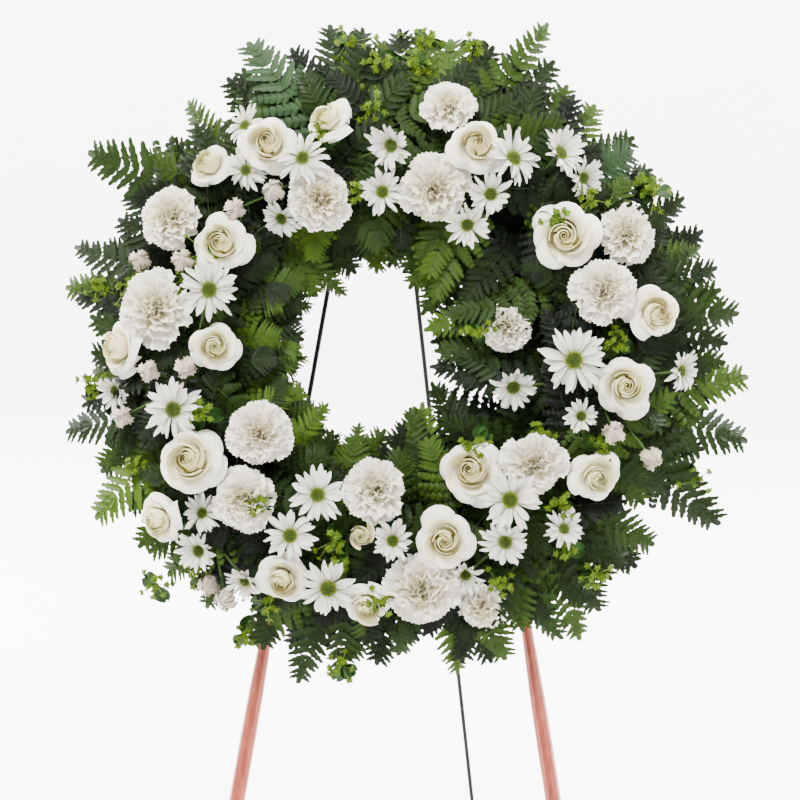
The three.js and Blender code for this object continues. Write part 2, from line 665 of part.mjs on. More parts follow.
// A tapered lower leg with a socket for the rod, cut level at the floor
function lowerLegSolid(sign) {
  const slant = Math.hypot(1, SPREAD_SLOPE);
  const length = (SOCKET_TOP + RING_TO_FLOOR + 30) * slant;
  const bore = ROD_RADIUS + FIT;
  const outline = [
    [0, -SOCKET_DEPTH], [bore, -SOCKET_DEPTH], [bore, 0],
    ...LEG_TAPER.map(([down, radius]) => [radius, -down]),
    [LEG_TAPER.at(-1)[1], -length], [0, -length],
  ];
  const geometry = new THREE.LatheGeometry(outline.map(([radius, z]) => new THREE.Vector2(radius, z)), LEG_SIDES);
  const down = at(sign * SPREAD_SLOPE, -1, 0).normalize();
  geometry.applyQuaternion(new THREE.Quaternion().setFromUnitVectors(AXIS.clone().negate(), down));
  geometry.translate(...at(sign * spread(SOCKET_TOP), SOCKET_TOP, ROD_W).toArray());
  return solid(geometry).subtract(floorSolid());
}

const HINGE_POINT = at(HINGE.u, HEAD_RISE - HINGE.drop, PLATE_W - HEAD_PLATE.thickness / 2 - HINGE.back);
const onPin = (offset) => HINGE_POINT.clone().setX(HINGE.u + offset);

// The head plate, with its hanger for the ring and two lugs for the hinge
function headSolid() {
  const { width, height, thickness } = HEAD_PLATE;
  const plate = boxSolid(at(0, HEAD_RISE, PLATE_W), [width, height, thickness]);
  const under = FOAM.inner - FIT - TRAY.wall - FIT - ROD_RADIUS;
  const low = HEAD_RISE - height / 2;
  const stops = [
    at(0, HEAD_RISE - 2, PLATE_W), at(0, low - 4, PLATE_W), at(0, low - 18, ROD_W),
    at(0, under - ROD_RADIUS, ROD_W),
  ];
  const hanger = stops.slice(1).map((stop, i) => rodSolid(stops[i], stop, ROD_RADIUS, 6));
  hanger.push(rodSolid(at(0, under, ROD_W - ROD_RADIUS), at(0, under, ROD_W + PEG_LENGTH), ROD_RADIUS, 6));
  const lugs = [-1, 1].map((sign) => boxSolid(
    onPin(sign * (HINGE.half + FIT + HINGE.lug / 2)).add(at(0, 0, (HINGE.back - HINGE.sleeve) / 2)),
    [HINGE.lug, 2 * HINGE.sleeve, HINGE.back + HINGE.sleeve + 1],
  ));
  const bore = rodSolid(onPin(-20), onPin(20), HINGE.pin + FIT, 8);
  return join([plate, ...hanger, ...lugs]).subtract(bore);
}

// The hinge pin, with a head at each end
function pinSolid() {
  const reach = HINGE.half + HINGE.lug + 2 * FIT;
  const shank = rodSolid(onPin(-reach - 1), onPin(reach + 1), HINGE.pin, 8);
  const heads = [-1, 1].map((sign) => rodSolid(onPin(sign * reach), onPin(sign * (reach + 2)), HINGE.pin + 1.5, 8));
  return join([shank, ...heads]);
}

// The rear leg: a sleeve on the pin, a heel that stops it against the plate, and a long rod
function rearLegSolid() {
  const foot = new THREE.Vector3(REAR_FOOT.u, REAR_FOOT.back, 0).applyMatrix4(toLeaning);
  const along = foot.clone().sub(HINGE_POINT).normalize();
  const sleeve = rodSolid(onPin(-HINGE.half), onPin(HINGE.half), HINGE.sleeve, 8);
  const rod = rodSolid(HINGE_POINT, foot.clone().addScaledVector(along, 30), ROD_RADIUS, 8);
  const heel = boxSolid(
    onPin(0).add(at(0, HINGE.heel, (HINGE.back - FIT) / 2)),
    [2 * HINGE.half, HINGE.heel, HINGE.back - FIT],
  );
  const bore = rodSolid(onPin(-20), onPin(20), HINGE.pin + FIT, 8);
  return join([sleeve, rod, heel]).subtract(bore).subtract(floorSolid());
}

const number = (i) => String(i + 1).padStart(2, '0');

addMesh('tray', traySolid(), trayPlastic);
addMesh('front_rod_left', frontRodSolid(-1), darkSteel);
addMesh('front_rod_right', frontRodSolid(1), darkSteel);
addMesh('front_leg_left', lowerLegSolid(-1), roseStain);
addMesh('front_leg_right', lowerLegSolid(1), roseStain);
addMesh('head_plate', headSolid(), darkSteel);
addMesh('hinge_pin', pinSolid(), darkSteel);
addMesh('rear_leg', rearLegSolid(), darkSteel);

const blooms = [
  ...ROSES.map((row, i) => ({ row, name: `rose_${number(i)}`, make: roseSolid, material: rosePetal })),
  ...CARNATIONS.map((row, i) => (
    { row, name: `carnation_${number(i)}`, make: carnationSolid, material: carnationPetal })),
];

// Every head is noted before the first petal grows, so that each keeps clear of the others
for (const { row, name } of blooms) {
  const { centre, facing, radius } = standAt(row);
  balls.push({ centre, facing, radius: 0.72 * radius, depth: 0.62 * radius, owner: name });
}
SPRAYS.forEach((spray, i) => spray.daisies.forEach((row) => {
  const { centre, facing, radius } = standAt(row);
  balls.push({ centre, facing, radius: 0.55 * radius, depth: 0.2 * radius, owner: `daisy_spray_${number(i)}` });
}));
for (const { row, name, make, material } of blooms) {
  addMesh(name, make(row, name), material);
  const ball = balls.find(({ owner }) => owner === name);
  ball.radius = 1.09 * row[2];
  ball.depth = 0.86 * row[2];
}
SPRAYS.forEach((spray, i) => {
  const name = `daisy_spray_${number(i)}`;
  addMesh(name, spraySolid(spray, name), daisyPetal);
  balls.filter(({ owner }) => owner === name).forEach((ball, j) => {
    ball.radius = 1.06 * spray.daisies[j][2];
    ball.depth = 0.36 * ball.radius;
  });
});
for (let sector = 0; sector < SECTORS; sector += 1) {
  const name = `greenery_${number(sector)}`;
  addMesh(name, greenerySolid(sector, name), fernGreen);
}
addMesh('foam_ring', foamSolid(), foamGreen);

// The origin is the middle of the whole object's bounding box, at the floor
const whole = new THREE.Group();
whole.add(wreath);
whole.updateMatrixWorld(true);
const bounds = new THREE.Box3().setFromObject(whole, true);
const middle = bounds.getCenter(new THREE.Vector3());
whole.position.set(-middle.x, -middle.y, -bounds.min.z);

export default whole;
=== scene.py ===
"""Looks of a funeral wreath on a folding easel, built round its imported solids.

Every plant is drawn in the wreath's leaning plane, in millimetres: u to the right, v up along the
plane, w out of it towards the front, from the middle of the foam ring's front face.
"""

import math

import bmesh
import bpy
import numpy as np
from mathutils import Matrix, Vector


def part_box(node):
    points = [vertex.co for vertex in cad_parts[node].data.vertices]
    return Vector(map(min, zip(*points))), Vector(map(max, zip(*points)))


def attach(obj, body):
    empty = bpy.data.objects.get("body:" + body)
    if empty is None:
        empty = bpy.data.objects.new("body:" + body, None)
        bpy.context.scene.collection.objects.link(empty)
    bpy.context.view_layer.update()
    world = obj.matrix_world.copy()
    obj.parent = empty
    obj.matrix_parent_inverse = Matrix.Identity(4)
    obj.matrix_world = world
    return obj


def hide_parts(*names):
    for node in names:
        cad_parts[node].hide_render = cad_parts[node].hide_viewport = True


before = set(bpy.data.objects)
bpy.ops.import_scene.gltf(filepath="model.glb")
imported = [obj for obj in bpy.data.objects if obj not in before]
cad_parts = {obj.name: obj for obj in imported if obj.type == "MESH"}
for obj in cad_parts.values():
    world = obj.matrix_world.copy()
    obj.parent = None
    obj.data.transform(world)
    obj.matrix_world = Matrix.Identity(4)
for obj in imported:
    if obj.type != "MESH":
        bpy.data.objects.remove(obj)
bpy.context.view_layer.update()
ROOT = "wreath_and_front_frame"
RNG = np.random.default_rng(21)

# The leaning plane, from the foam ring's box
LEAN = math.radians(10)
FOAM_DEPTH = 0.050
RIGHT = np.array([1.0, 0.0, 0.0])
UP = np.array([0.0, math.sin(LEAN), math.cos(LEAN)])
OUT = np.array([0.0, -math.cos(LEAN), math.sin(LEAN)])
BASIS = np.array([RIGHT, UP, OUT])
CENTRE = np.mean([np.array(corner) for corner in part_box("foam_ring")], axis=0) + OUT * FOAM_DEPTH / 2

# Camera: square to the wreath and a little to the right, as in the photograph
EYE = 2000.0
VIEW_AZIMUTH = math.radians(4)
VIEW_HALF = 400.0
AIM = (4.0, -48.0)

# Blooms stand on a dome over the foam, as in the solids
DOME_EDGE = 44.0
DOME_CROWN = 26.0
DOME_MIDDLE = 195.0
DOME_REACH = 100.0

# Foam ring and the tray that holds it
FOAM_INNER = 135.0
FOAM_OUTER = 235.0
FOAM_BACK = 50.0
FOAM_SHOULDER = 12.0
TRAY_WALL = 2.0
TRAY_INNER = 132.7
TRAY_OUTER = 237.3
TRAY_BACK = -52.3
TRAY_TOP = -20.3

# Greenery grows from hubs, one to each sector of the ring
SECTORS = 12
HUB_RING = 184.0
HUB_HEIGHT = 6.0

# Petals follow each other round a bloom by the golden angle, and the first share of a rose is its bud
GOLDEN = 2.399963
BUD_SHARE = 0.6

# A whole turn, the span of a random turn, and a fifth of a turn
TURN = 2 * math.pi
ANY_TURN = 6.28
FIFTH_TURN = 1.2566

# How many petals, florets and bracts a bloom has. A rose with a smaller radius is still closed
ROSE_BUD_PETALS = 15
ROSE_GUARD_PETALS = 9
CLOSED_ROSE = 20
CARNATION_PETALS = 42
MUM_LAYERS = (19, 15)
MUM_BUD_PETALS = 20
EYE_FLORETS = 64
STARS = 14
BRACTS = 5
STAR_FLORETS = 5

# Stems enter the foam between two distances from the middle, and go this deep
STEM_NEAREST = 152.0
STEM_FURTHEST = 218.0
STEM_DEPTH = 26
SEPALS = 5

# A small mum bud, the ball inside it, and a hare's-ear head
BUD_RADIUS = 10.5
BUD_CORE = 8.6
HEAD_SIZE = 17.0

# Pinnules have this many rows of points. The listed fronds are this much wider than the solids'
PINNULE_ROWS = 3
FROND_WIDER = 1.14

# How high a frond's rib arches: the listed fronds, the fillers, those over the hole, and deep ones
MAIN_ARCH = 32.0
FILLER_ARCH = 14.0
INNER_ARCH = 12.0
DEEP_ARCH = 8.0
WALL_ARCH = 6.0
HOLE_ARCH = 14.0

# The hole as it is seen between the leaves: its middle and half its width and height
HOLE = (-29.0, -3.0, 67.0, 90.0)

# Roses: u, v, radius, lift from the dome, and how far each faces right and up
ROSES = [
    (-128, 207, 29, 8, 0, 0.25), (-69, 232, 25, 0, -0.6, 0.6), (84, 206, 28, 12, 0.15, 0.2),
    (-174, 106, 29, 6, -0.1, 0.1), (171, 115, 33, 6, 0, 0), (-280, 0, 29, 2, -1.1, 0),
    (-179, 2, 25, -4, 0.15, 0), (-203, -113, 35, 10, -0.2, 0.2), (262, 40, 28, 2, 0.4, 0.1),
    (233, -33, 29, 4, 0.15, 0), (80, -119, 32, 4, -0.15, 0.2), (206, -124, 26, 0, 0.3, -0.1),
    (57, -190, 30, 12, 0, 0), (-108, -233, 27, 2, -0.1, -0.35), (-237, -174, 26, 0, -0.8, -0.4),
    (-22, -258, 24, -4, 0, -0.6), (-190, 187, 24, -4, -0.5, 0.4), (-28, -186, 13, 2, 0, 0),
]

# Carnations, in the same order of values
CARNATIONS = [
    (-228, 133, 33, 0, -0.25, 0.15), (-243, 40, 37, 4, -0.25, 0), (-75, 151, 33, 6, 0, 0),
    (53, 247, 27, -2, 0, 0.5), (41, 162, 34, 4, 0, 0), (233, 119, 30, -2, 0.3, 0.2),
    (213, 60, 32, 8, 0.1, 0), (-132, -85, 32, 2, 0.1, 0.1), (-148, -151, 32, 0, 0, 0),
    (-15, -138, 32, 4, 0, 0.2), (32, -242, 37, 2, 0, -0.2), (145, -112, 32, 4, 0, 0),
    (111, 25, 25, -14, -0.2, 0), (92, -256, 26, -10, 0.1, -0.4),
]

# Daisy mums in sprays: the hub, the heads in the same order of values, and the small buds
SPRAYS = [
    ((-70, 178),
     [(-151, 224, 22, 0, -0.5, 0.5), (-90, 191, 27, 16, -0.1, 0.2), (-113, 132, 23, -16, -0.3, -0.5),
      (-149, 180, 22, -4, -0.3, -0.2), (-12, 158, 25, -6, 0.1, 0), (-2, 205, 27, -2, -0.4, -0.3)],
     [(-160, 140, -4), (-121, 158, 4)]),
    ((122, 152),
     [(75, 126, 25, 14, 0, -0.3), (97, 156, 25, 0, 0.1, 0), (118, 192, 30, 2, 0.7, 0.3),
      (163, 197, 29, -6, 0.9, 0.5), (186, 174, 24, -10, 0.9, -0.2)],
     []),
    ((196, -28),
     [(182, -8, 35, 4, 0, 0), (120, -34, 27, -8, 0.2, -0.5), (284, -17, 24, -6, 1.2, 0),
      (190, -64, 20, 0, -0.1, 0.1)],
     [(222, -80, 0), (258, -104, -4)]),
    ((128, -172),
     [(121, -148, 32, 14, 0, 0), (116, -189, 27, 0, -0.1, -0.3), (172, -176, 22, -6, 0.4, 0.3),
      (76, -222, 22, -10, 0, -0.5)],
     []),
    ((-66, -190),
     [(-61, -238, 33, 0, 0, -0.3), (-99, -187, 29, 4, -0.1, 0), (-72, -146, 29, 6, 0, 0.1),
      (4, -191, 24, 2, 0, 0.1)],
     []),
    ((-208, -34),
     [(-184, 59, 31, 6, 0, -0.1), (-219, -62, 32, 4, -0.1, 0), (-280, -42, 22, -12, -0.5, -0.5)],
     [(-257, 88, -8), (-212, 88, 4), (-245, -24, 10), (-207, -20, 12), (-273, -70, 0)]),
    ((-178, -192),
     [(-193, -203, 25, 0, -0.2, -0.2), (-190, -166, 22, -10, -0.2, 0.2),
      (-146, -232, 22, -8, -0.3, -0.5)],
     [(-166, -252, -6), (-184, -238, -10)]),
]

# Fern fronds: where each tip is seen, its w, and the frond's width
FRONDS = [
    (-71, 330, 0, 66), (-36, 326, 12, 60), (-153, 312, 22, 82), (-96, 279, 30, 60), (149, 330, 4, 60),
    (34, 296, 0, 70), (88, 298, 4, 70), (196, 250, 4, 66), (236, 202, 20, 80), (271, 129, 8, 66),
    (303, 108, -4, 64), (320, 86, 12, 66), (341, 40, 0, 76), (331, 10, 16, 60), (351, -20, 4, 76),
    (351, -84, -4, 80), (296, -128, 10, 70), (324, -170, 6, 84), (261, -190, 10, 70), (206, -258, 4, 76),
    (187, -286, -6, 64), (114, -308, 8, 74), (66, -323, -4, 60), (6, -306, 10, 60), (-51, -326, 4, 60),
    (-96, -336, -4, 66), (-146, -298, 4, 70), (-190, -262, 0, 60), (-231, -229, 8, 76),
    (-306, -173, 4, 84), (-301, -126, -4, 70), (-337, -84, 6, 74), (-311, -22, -4, 70),
    (-309, 22, -6, 66), (-339, 62, 0, 70), (-329, 104, 10, 60), (-318, 199, 4, 90), (-262, 196, 14, 60),
    (-216, 252, 2, 60), (-50, 54, 10, 44), (-22, 84, 4, 46), (30, 58, 14, 50), (62, 40, 26, 46),
    (70, -6, 10, 44), (14, -54, 8, 44), (34, -84, 20, 44), (0, -82, 4, 40), (-36, -70, 8, 44),
    (-66, -52, 14, 44), (-88, -4, 6, 44), (-84, 44, 4, 44),
]

# Hare's-ear clusters: where each is seen, and its w
CLUSTERS = [
    (-51, 310, 24), (-19, 289, 30), (21, 289, 26), (29, 314, 12), (74, 307, 16), (-72, 220, 66),
    (-24, 241, 50), (-35, 158, 62), (-189, 97, 70), (-210, 73, 60), (-304, 60, 20), (-270, 66, 30),
    (-190, -66, 74), (-312, -36, 20), (-260, -120, 34), (-131, -156, 74), (-126, -253, 40),
    (-240, -238, 10), (-195, -229, 30), (-151, -288, 10), (-51, -316, 20), (-59, -193, 66),
    (-52, -217, 60), (-14, -253, 60), (86, -92, 60), (149, -82, 60), (84, 22, 50), (169, -151, 60),
    (110, -234, 50), (174, -197, 50), (204, -220, 40), (299, -126, 20), (223, 11, 60),
    (162, 132, 78), (195, 153, 56), (258, 160, 34), (246, 168, 26), (206, -96, 60),
]

# Filler fronds round the ring: how many, the root's and the tip's distance, their heights, how far
# each turns aside, and its width
FILLERS = [
    (46, 200, 322, 0, 8, 0.16, 76),
    (44, 188, 302, 10, 20, 0.30, 76),
    (42, 200, 280, 24, 36, 0.50, 66),
    (34, 178, 240, 30, 44, 0.60, 60),
    (28, 205, 160, 34, 46, 0.60, 54),
]

# Fronds that hang over the hole: how many, how far past its edge the tip stays, heights and width
INNER = [
    (36, 0.92, 4, 14, 68),
    (34, 1.16, 24, 32, 58),
]

# Deep fronds: how many, the root's distance, how long, heights, the spread of their aim, and width
DEEP = [
    (44, 222, 86, -22, -30, 0.5, 84),
    (50, 205, 86, 2, 8, 0.5, 82),
    (42, 190, 70, 14, 22, 1.5, 78),
    (34, 160, 60, 16, 26, 3.1, 72),
]

# Fronds over the easel's head: where each tip is seen, its w, and the frond's width
HEAD_FRONDS = [
    (-60, 304, 6, 76), (-14, 314, -2, 80), (18, 320, 2, 80), (50, 316, 0, 80), (70, 300, 8, 70),
]

# Fronds along the tray's walls: how many, the root's and the tip's distance, and their heights
WALL_FRONDS = [
    (26, 146, 117, 8, -40),
    (40, 232, 262, 2, -46),
]

# Deep fronds round the hole: how many, and the distance that they grow from
HOLE_DEEP = 84
HOLE_DEEP_RING = 158

# Fronds over the hole grow from this distance
INNER_RING = 176

# Fronds that show their pale backs, by their place in the list
PALE = (2, 8)

# Sizes of the patterns in millimetres: the patches of a leaf's colour, the foam's cells, the mould's
# grain, the wood's streaks, the paint's dull spots and the paper's cloudiness. The foam's cells are
# 0.3 in life and the grain and paint finer still. They are drawn as coarse as they need to show
LEAF_PATCH = 11.1
FOAM_CELL = 1.11
MOULD_GRAIN = 2.5
WOOD_STREAK = 16.7
PAINT_SPOT = 3.33
PAPER_CLOUD = 333

# Floor and backdrop, in metres: how far the floor is flat, its bend and the wall's top
FLOOR_FLAT = 6.2
FLOOR_BEND = 2.4
WALL_TOP = 4.5
FLAT_ROWS = 12
BEND_ROWS = 14
FLOOR_COLUMNS = 97

# Lights: name, size and power, how far and in which direction from the wreath, and what each lights
LIGHTS = [
    ("key", 1.1, 250.0, 3.0, (-0.4, -1.0, 1.4), None),
    ("fill", 2.5, 55.0, 3.0, (1.2, -0.9, 0.4), None),
    ("top", 2.0, 90.0, 2.6, (0.1, 0.3, 1.0), None),
    ("backdrop_-1", 2.4, 2300.0, 4.2, (-1.0, 0.35, 0.5), (0.0, 8.5, 0.6)),
    ("backdrop_1", 2.4, 2300.0, 4.2, (1.0, 0.35, 0.5), (0.0, 8.5, 0.6)),
]
ROOM_LIGHT = 0.6


def place(points):
    """World points from (u, v, w) rows: the centre plus each value along its own axis of the plane."""
    return CENTRE + np.asarray(points) @ BASIS / 1000


def seen(u, v, w):
    """A place as seen from the front, drawn in towards the eye by its w."""
    scale = 1 - w / EYE
    return np.array([u * scale, v * scale, w])


def polar(distance, angle, w):
    """A place at a distance and an angle round the wreath's middle."""
    return np.array([distance * math.cos(angle), distance * math.sin(angle), w])


def round_hole(past, angle, w):
    """A place on the hole's outline, drawn out from its middle by past."""
    return np.array([HOLE[0] + HOLE[2] * past * math.cos(angle),
                     HOLE[1] + HOLE[3] * past * math.sin(angle), w])


def sector_of(place_in_plane):
    """The sector of the ring that a place lies in."""
    angle = math.degrees(math.atan2(place_in_plane[1], place_in_plane[0]))
    return int(angle % 360 // (360 / SECTORS))


def dome(u, v):
    """Height of the dome: its edge plus a quarter cosine of the distance from the middle ring."""
    off = min(1.0, abs(math.hypot(u, v) - DOME_MIDDLE) / DOME_REACH)
    return DOME_EDGE + DOME_CROWN * math.cos(off * math.pi / 2)


def unit(vector):
    """Vectors of length one along the last axis."""
    vector = np.asarray(vector, dtype=float)
    return vector / np.linalg.norm(vector, axis=-1, keepdims=True)


def stand(row):
    """A bloom's centre, radius and axes (side, up, facing), as rows of a matrix."""
    u, v, radius, lift, right, up = row
    centre = seen(u, v, dome(u, v) + lift)
    facing = unit([right, up, 1.0])
    side = unit(np.cross([0.0, 1.0, 0.0], facing))
    return centre, radius, np.array([side, np.cross(facing, side), facing])


def to_linear(code):
    """Linear colour from an sRGB hex code."""
    values = np.array([int(code[i:i + 2], 16) for i in (0, 2, 4)]) / 255
    linear = np.where(values <= 0.04045, values / 12.92, ((values + 0.055) / 1.055) ** 2.4)
    return (*linear, 1.0)


class Sheaf:
    """Grids of points gathered into one mesh.

    Each grid has its own UV map, a tint (how light it is among its like) and a shade (its place along
    its material's colours). For the ferns and the fronds' ribs the shade is painted shade: low and dark
    for what lies deep, higher and lighter for what lies on top.
    """

    def __init__(self):
        self.points = []
        self.faces = []
        self.uvs = []
        self.tints = []
        self.shades = []
        self.count = 0

    def add(self, grids, shade=0.5, tint=None):
        """Adds grids of shape (sheets, rows, columns, 3). Each cell of a grid becomes a quad."""
        grids = np.asarray(grids, dtype=float)
        if grids.ndim == 3:
            grids = grids[None]
        sheets, rows, columns, _ = grids.shape
        size = rows * columns
        index = np.arange(size).reshape(rows, columns)
        quads = np.stack([index[:-1, :-1], index[:-1, 1:], index[1:, 1:], index[1:, :-1]], axis=-1)
        quads = quads.reshape(1, -1, 4) + (np.arange(sheets) * size)[:, None, None] + self.count
        across, along = np.meshgrid(np.linspace(0, 1, columns), np.linspace(0, 1, rows))
        uv = np.stack([across, along], axis=-1).reshape(1, size, 2)
        tints = RNG.random(sheets) if tint is None else np.broadcast_to(tint, (sheets,))
        shades = np.broadcast_to(np.asarray(shade, dtype=float).reshape(-1), (sheets,))
        self.points.append(grids.reshape(-1, 3))
        self.faces.append(quads.reshape(-1, 4))
        self.uvs.append(np.broadcast_to(uv, (sheets, size, 2)).reshape(-1, 2))
        self.tints.append(np.repeat(tints, size))
        self.shades.append(np.repeat(shades, size))
        self.count += sheets * size

    def finish(self, name, material, slot, replaces=(), closed=False):
        """The mesh object, with its UV map and the point attributes tint and shade.

        A closed one has the points along its seams and at its poles merged.
        """
        points = place(np.concatenate(self.points))
        faces = np.concatenate(self.faces)
        mesh = bpy.data.meshes.new(name)
        mesh.from_pydata(points, [], faces.tolist())
        uv = mesh.uv_layers.new(name="grid")
        corners = np.empty(len(mesh.loops), dtype=np.int32)
        mesh.loops.foreach_get("vertex_index", corners)
        uv.data.foreach_set("uv", np.concatenate(self.uvs)[corners].ravel())
        for label, values in (("tint", self.tints), ("shade", self.shades)):
            layer = mesh.attributes.new(label, "FLOAT", "POINT")
            layer.data.foreach_set("value", np.concatenate(values))
        mesh.shade_smooth()
        if closed:
            whole = bmesh.new()
            whole.from_mesh(mesh)
            bmesh.ops.remove_doubles(whole, verts=whole.verts, dist=1e-6)
            whole.to_mesh(mesh)
            whole.free()
        mesh.materials.append(material)
        piece = bpy.data.objects.new(name, mesh)
        bpy.context.scene.collection.objects.link(piece)
        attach(piece, ROOT)
        if replaces:
            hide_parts(*replaces)


def petal_grid(rows, columns):
    """Along values b from 0 at the root to 1 at the rim, and across values a from -1 to 1."""
    b, a = np.meshgrid(np.linspace(0, 1, rows), np.linspace(-1, 1, columns), indexing="ij")
    return b, a


def turned(points, angle):
    """Points turned about the bloom's axis."""
    c, s = math.cos(angle), math.sin(angle)
    x, y, z = points[..., 0], points[..., 1], points[..., 2]
    return np.stack([x * c - y * s, x * s + y * c, z], axis=-1)


def rose_petal(radius, openness, angle):
    """A cupped petal round the axis.

    Petals of the bud, up to BUD_SHARE, wrap more than half way round, each a little outside the last.
    Their rims close in over the middle by the fifth power of b, and one side stands further out, which
    makes the spiral. Guard petals flare from the cup: their distance grows by the cube of b past it,
    less towards their corners, and their sides roll down.
    """
    b, a = petal_grid(9, 9)
    bud = min(1.0, openness / BUD_SHARE)
    flare = max(0.0, (openness - BUD_SHARE) / (1 - BUD_SHARE))
    guard = float(flare > 0)
    cup = radius * (0.05 + 0.53 * bud ** 0.85)
    top = radius * (0.40 - 0.16 * bud)
    foot = -0.62 * radius
    half = 1.8 - 0.85 * bud - 0.1 * flare
    wave = RNG.uniform(-1, 1, 4)
    outline = (0.40 + 0.60 * np.sin(np.clip(b * 1.3, 0, 1) * math.pi / 2)) * (1 - 0.10 * b ** 6)
    around = a * half * outline
    rise = b * (1 - (0.10 + 0.10 * guard) * a ** 2 * b ** 2 - 0.10 * guard * a ** 6 * b)
    distance = cup * np.sin(np.clip(rise * 1.2, 0, 1) * math.pi / 2) ** 0.8
    distance = distance * (1 - 0.62 * (1 - bud) ** 0.6 * b ** 5) * (1 + (0.22 - 0.08 * flare) * a * b)
    lip = 0.09 * radius * (1 - guard) * bud ** 2 * np.clip(b - 0.8, 0, 1) * 5
    spread = radius * guard * (0.14 + (0.38 + 0.07 * wave[0]) * flare)
    corner = 1.06 - 0.30 * np.abs(a) ** 1.3 - 0.34 * a ** 4
    distance = distance + lip + spread * b ** 3 * corner
    height = foot + (top - foot) * rise - guard * (0.26 + 0.36 * flare) * radius * b ** 5
    height = height - 0.10 * radius * guard * np.abs(a) ** 3 * b ** 3
    height = height + 0.05 * radius * guard * b ** 3 * np.sin(2.6 * a + wave[1] * 3)
    points = np.stack([distance * np.cos(around), distance * np.sin(around), height], axis=-1)
    lean = 0.18 * wave[2] * guard + 0.04 * wave[3]
    points[..., 2] += lean * points[..., 0] * b
    return turned(points, angle)


def rose_sheets(radius):
    """Petals set a golden angle apart, from the tight bud to the guard petals."""
    closed = radius < CLOSED_ROSE
    steps = np.linspace(0, BUD_SHARE, ROSE_BUD_PETALS)
    if not closed:
        steps = np.concatenate([steps, np.linspace(BUD_SHARE + 0.06, 1, ROSE_GUARD_PETALS)])
    sheets = []
    for i, openness in enumerate(steps):
        angle = i * GOLDEN + RNG.uniform(-0.25, 0.25)
        size = radius * RNG.uniform(0.94, 1.04) * (1.6 if closed else 1.0)
        sheets.append(rose_petal(size, openness, angle))
    return np.array(sheets), steps


def carnation_sheets(radius):
    """Broad fans from the heart of the bloom, leaning further out ring by ring.

    Each fan widens along b and ruffles by two sines of a that grow with b squared. Its rim curls and
    has small teeth.
    """
    b, a = petal_grid(8, 17)
    sheets = []
    opens = []
    for i in range(CARNATION_PETALS):
        t = (i + 0.5) / CARNATION_PETALS
        lean = 1.52 * t ** 0.72 + RNG.uniform(-0.16, 0.16)
        length = radius * (0.80 + 0.20 * t) * RNG.uniform(0.82, 1.08 + 0.08 * t)
        spread = radius * (0.30 + 0.22 * t)
        phase = RNG.uniform(0, ANY_TURN, 2)
        teeth = 0.022 * np.where(np.arange(17) % 2 == 0, 1.0, -1.0)[None, :] * b ** 8
        along = length * (b * (1 - 0.20 * a ** 2 * b) + teeth)
        across = a * spread * (0.12 + 0.88 * b ** 0.9)
        waves = 0.115 * np.sin(5.6 * a + phase[0]) + 0.075 * np.sin(12.0 * a + phase[1])
        ruffle = radius * b ** 2 * waves
        curl = radius * RNG.uniform(0.02, 0.16) * b ** 3
        x = along * math.sin(lean) + (ruffle - curl * (0.5 - t)) * math.cos(lean)
        z = along * math.cos(lean) * 0.74 - ruffle * math.sin(lean) - curl * t - 0.26 * radius
        sheets.append(turned(np.stack([x, -across, z], axis=-1), i * GOLDEN))
        opens.append(t)
    return np.array(sheets), np.array(opens)


def daisy_sheets(radius, closing):
    """Two layers of oval petals with round tips, widest past their middle.

    A petal has one shallow groove along it. It rises from the eye and droops towards its tip, and the
    petals below the eye hang more. closing lifts them all towards a cup.
    """
    b, a = petal_grid(7, 5)
    sheets = []
    for layer, count in enumerate(MUM_LAYERS):
        for i in range(count):
            angle = (i + 0.5 * layer) * TURN / count + RNG.uniform(-0.17, 0.17)
            reach = radius * RNG.uniform(0.76, 1.06) * (1 - 0.12 * layer - 0.25 * closing)
            half = radius * RNG.uniform(0.066, 0.116)
            along = 0.20 * radius + (reach - 0.20 * radius) * b * (1 - 0.08 * a ** 2 * b ** 3)
            width = half * np.sin(np.clip(0.10 + 0.81 * b ** 1.45, 0, 1) * math.pi) ** 0.6
            lift = RNG.uniform(0.08, 0.42) + 0.12 * layer + closing
            droop = RNG.uniform(0.12, 0.44) - 0.14 * math.sin(angle)
            z = radius * (lift * b - droop * b ** 2 + 0.05 * layer) + 0.45 * half * a ** 2
            bend = radius * RNG.uniform(-0.13, 0.13) * b ** 2
            points = np.stack([along, bend - a * width, z], axis=-1)
            sheets.append(turned(points, angle))
    return np.array(sheets)


def ball_grids(centres, radius, squash=1.0, rows=3):
    """Small closed balls: latitude rows by longitude columns about each centre."""
    lat, lon = np.meshgrid(np.linspace(math.pi, 0, rows), np.linspace(0, TURN, rows + 2),
                           indexing="ij")
    shape = np.stack([np.sin(lat) * np.cos(lon), np.sin(lat) * np.sin(lon), np.cos(lat) * squash], axis=-1)
    size = np.broadcast_to(np.asarray(radius, dtype=float), (len(centres),))
    return centres[:, None, None, :] + shape[None] * size[:, None, None, None]


def daisy_eye(radius):
    """Florets on a golden-angle spiral over a low dome, and how far each is from its middle."""
    i = np.arange(EYE_FLORETS)
    ring = 0.25 * radius * np.sqrt((i + 0.5) / EYE_FLORETS)
    angle = i * GOLDEN
    height = radius * (0.20 - 1.5 * (ring / radius) ** 2)
    centres = np.stack([ring * np.cos(angle), ring * np.sin(angle), height], axis=-1)
    return ball_grids(centres, 0.034 * radius, 1.4), (i / EYE_FLORETS) ** 2


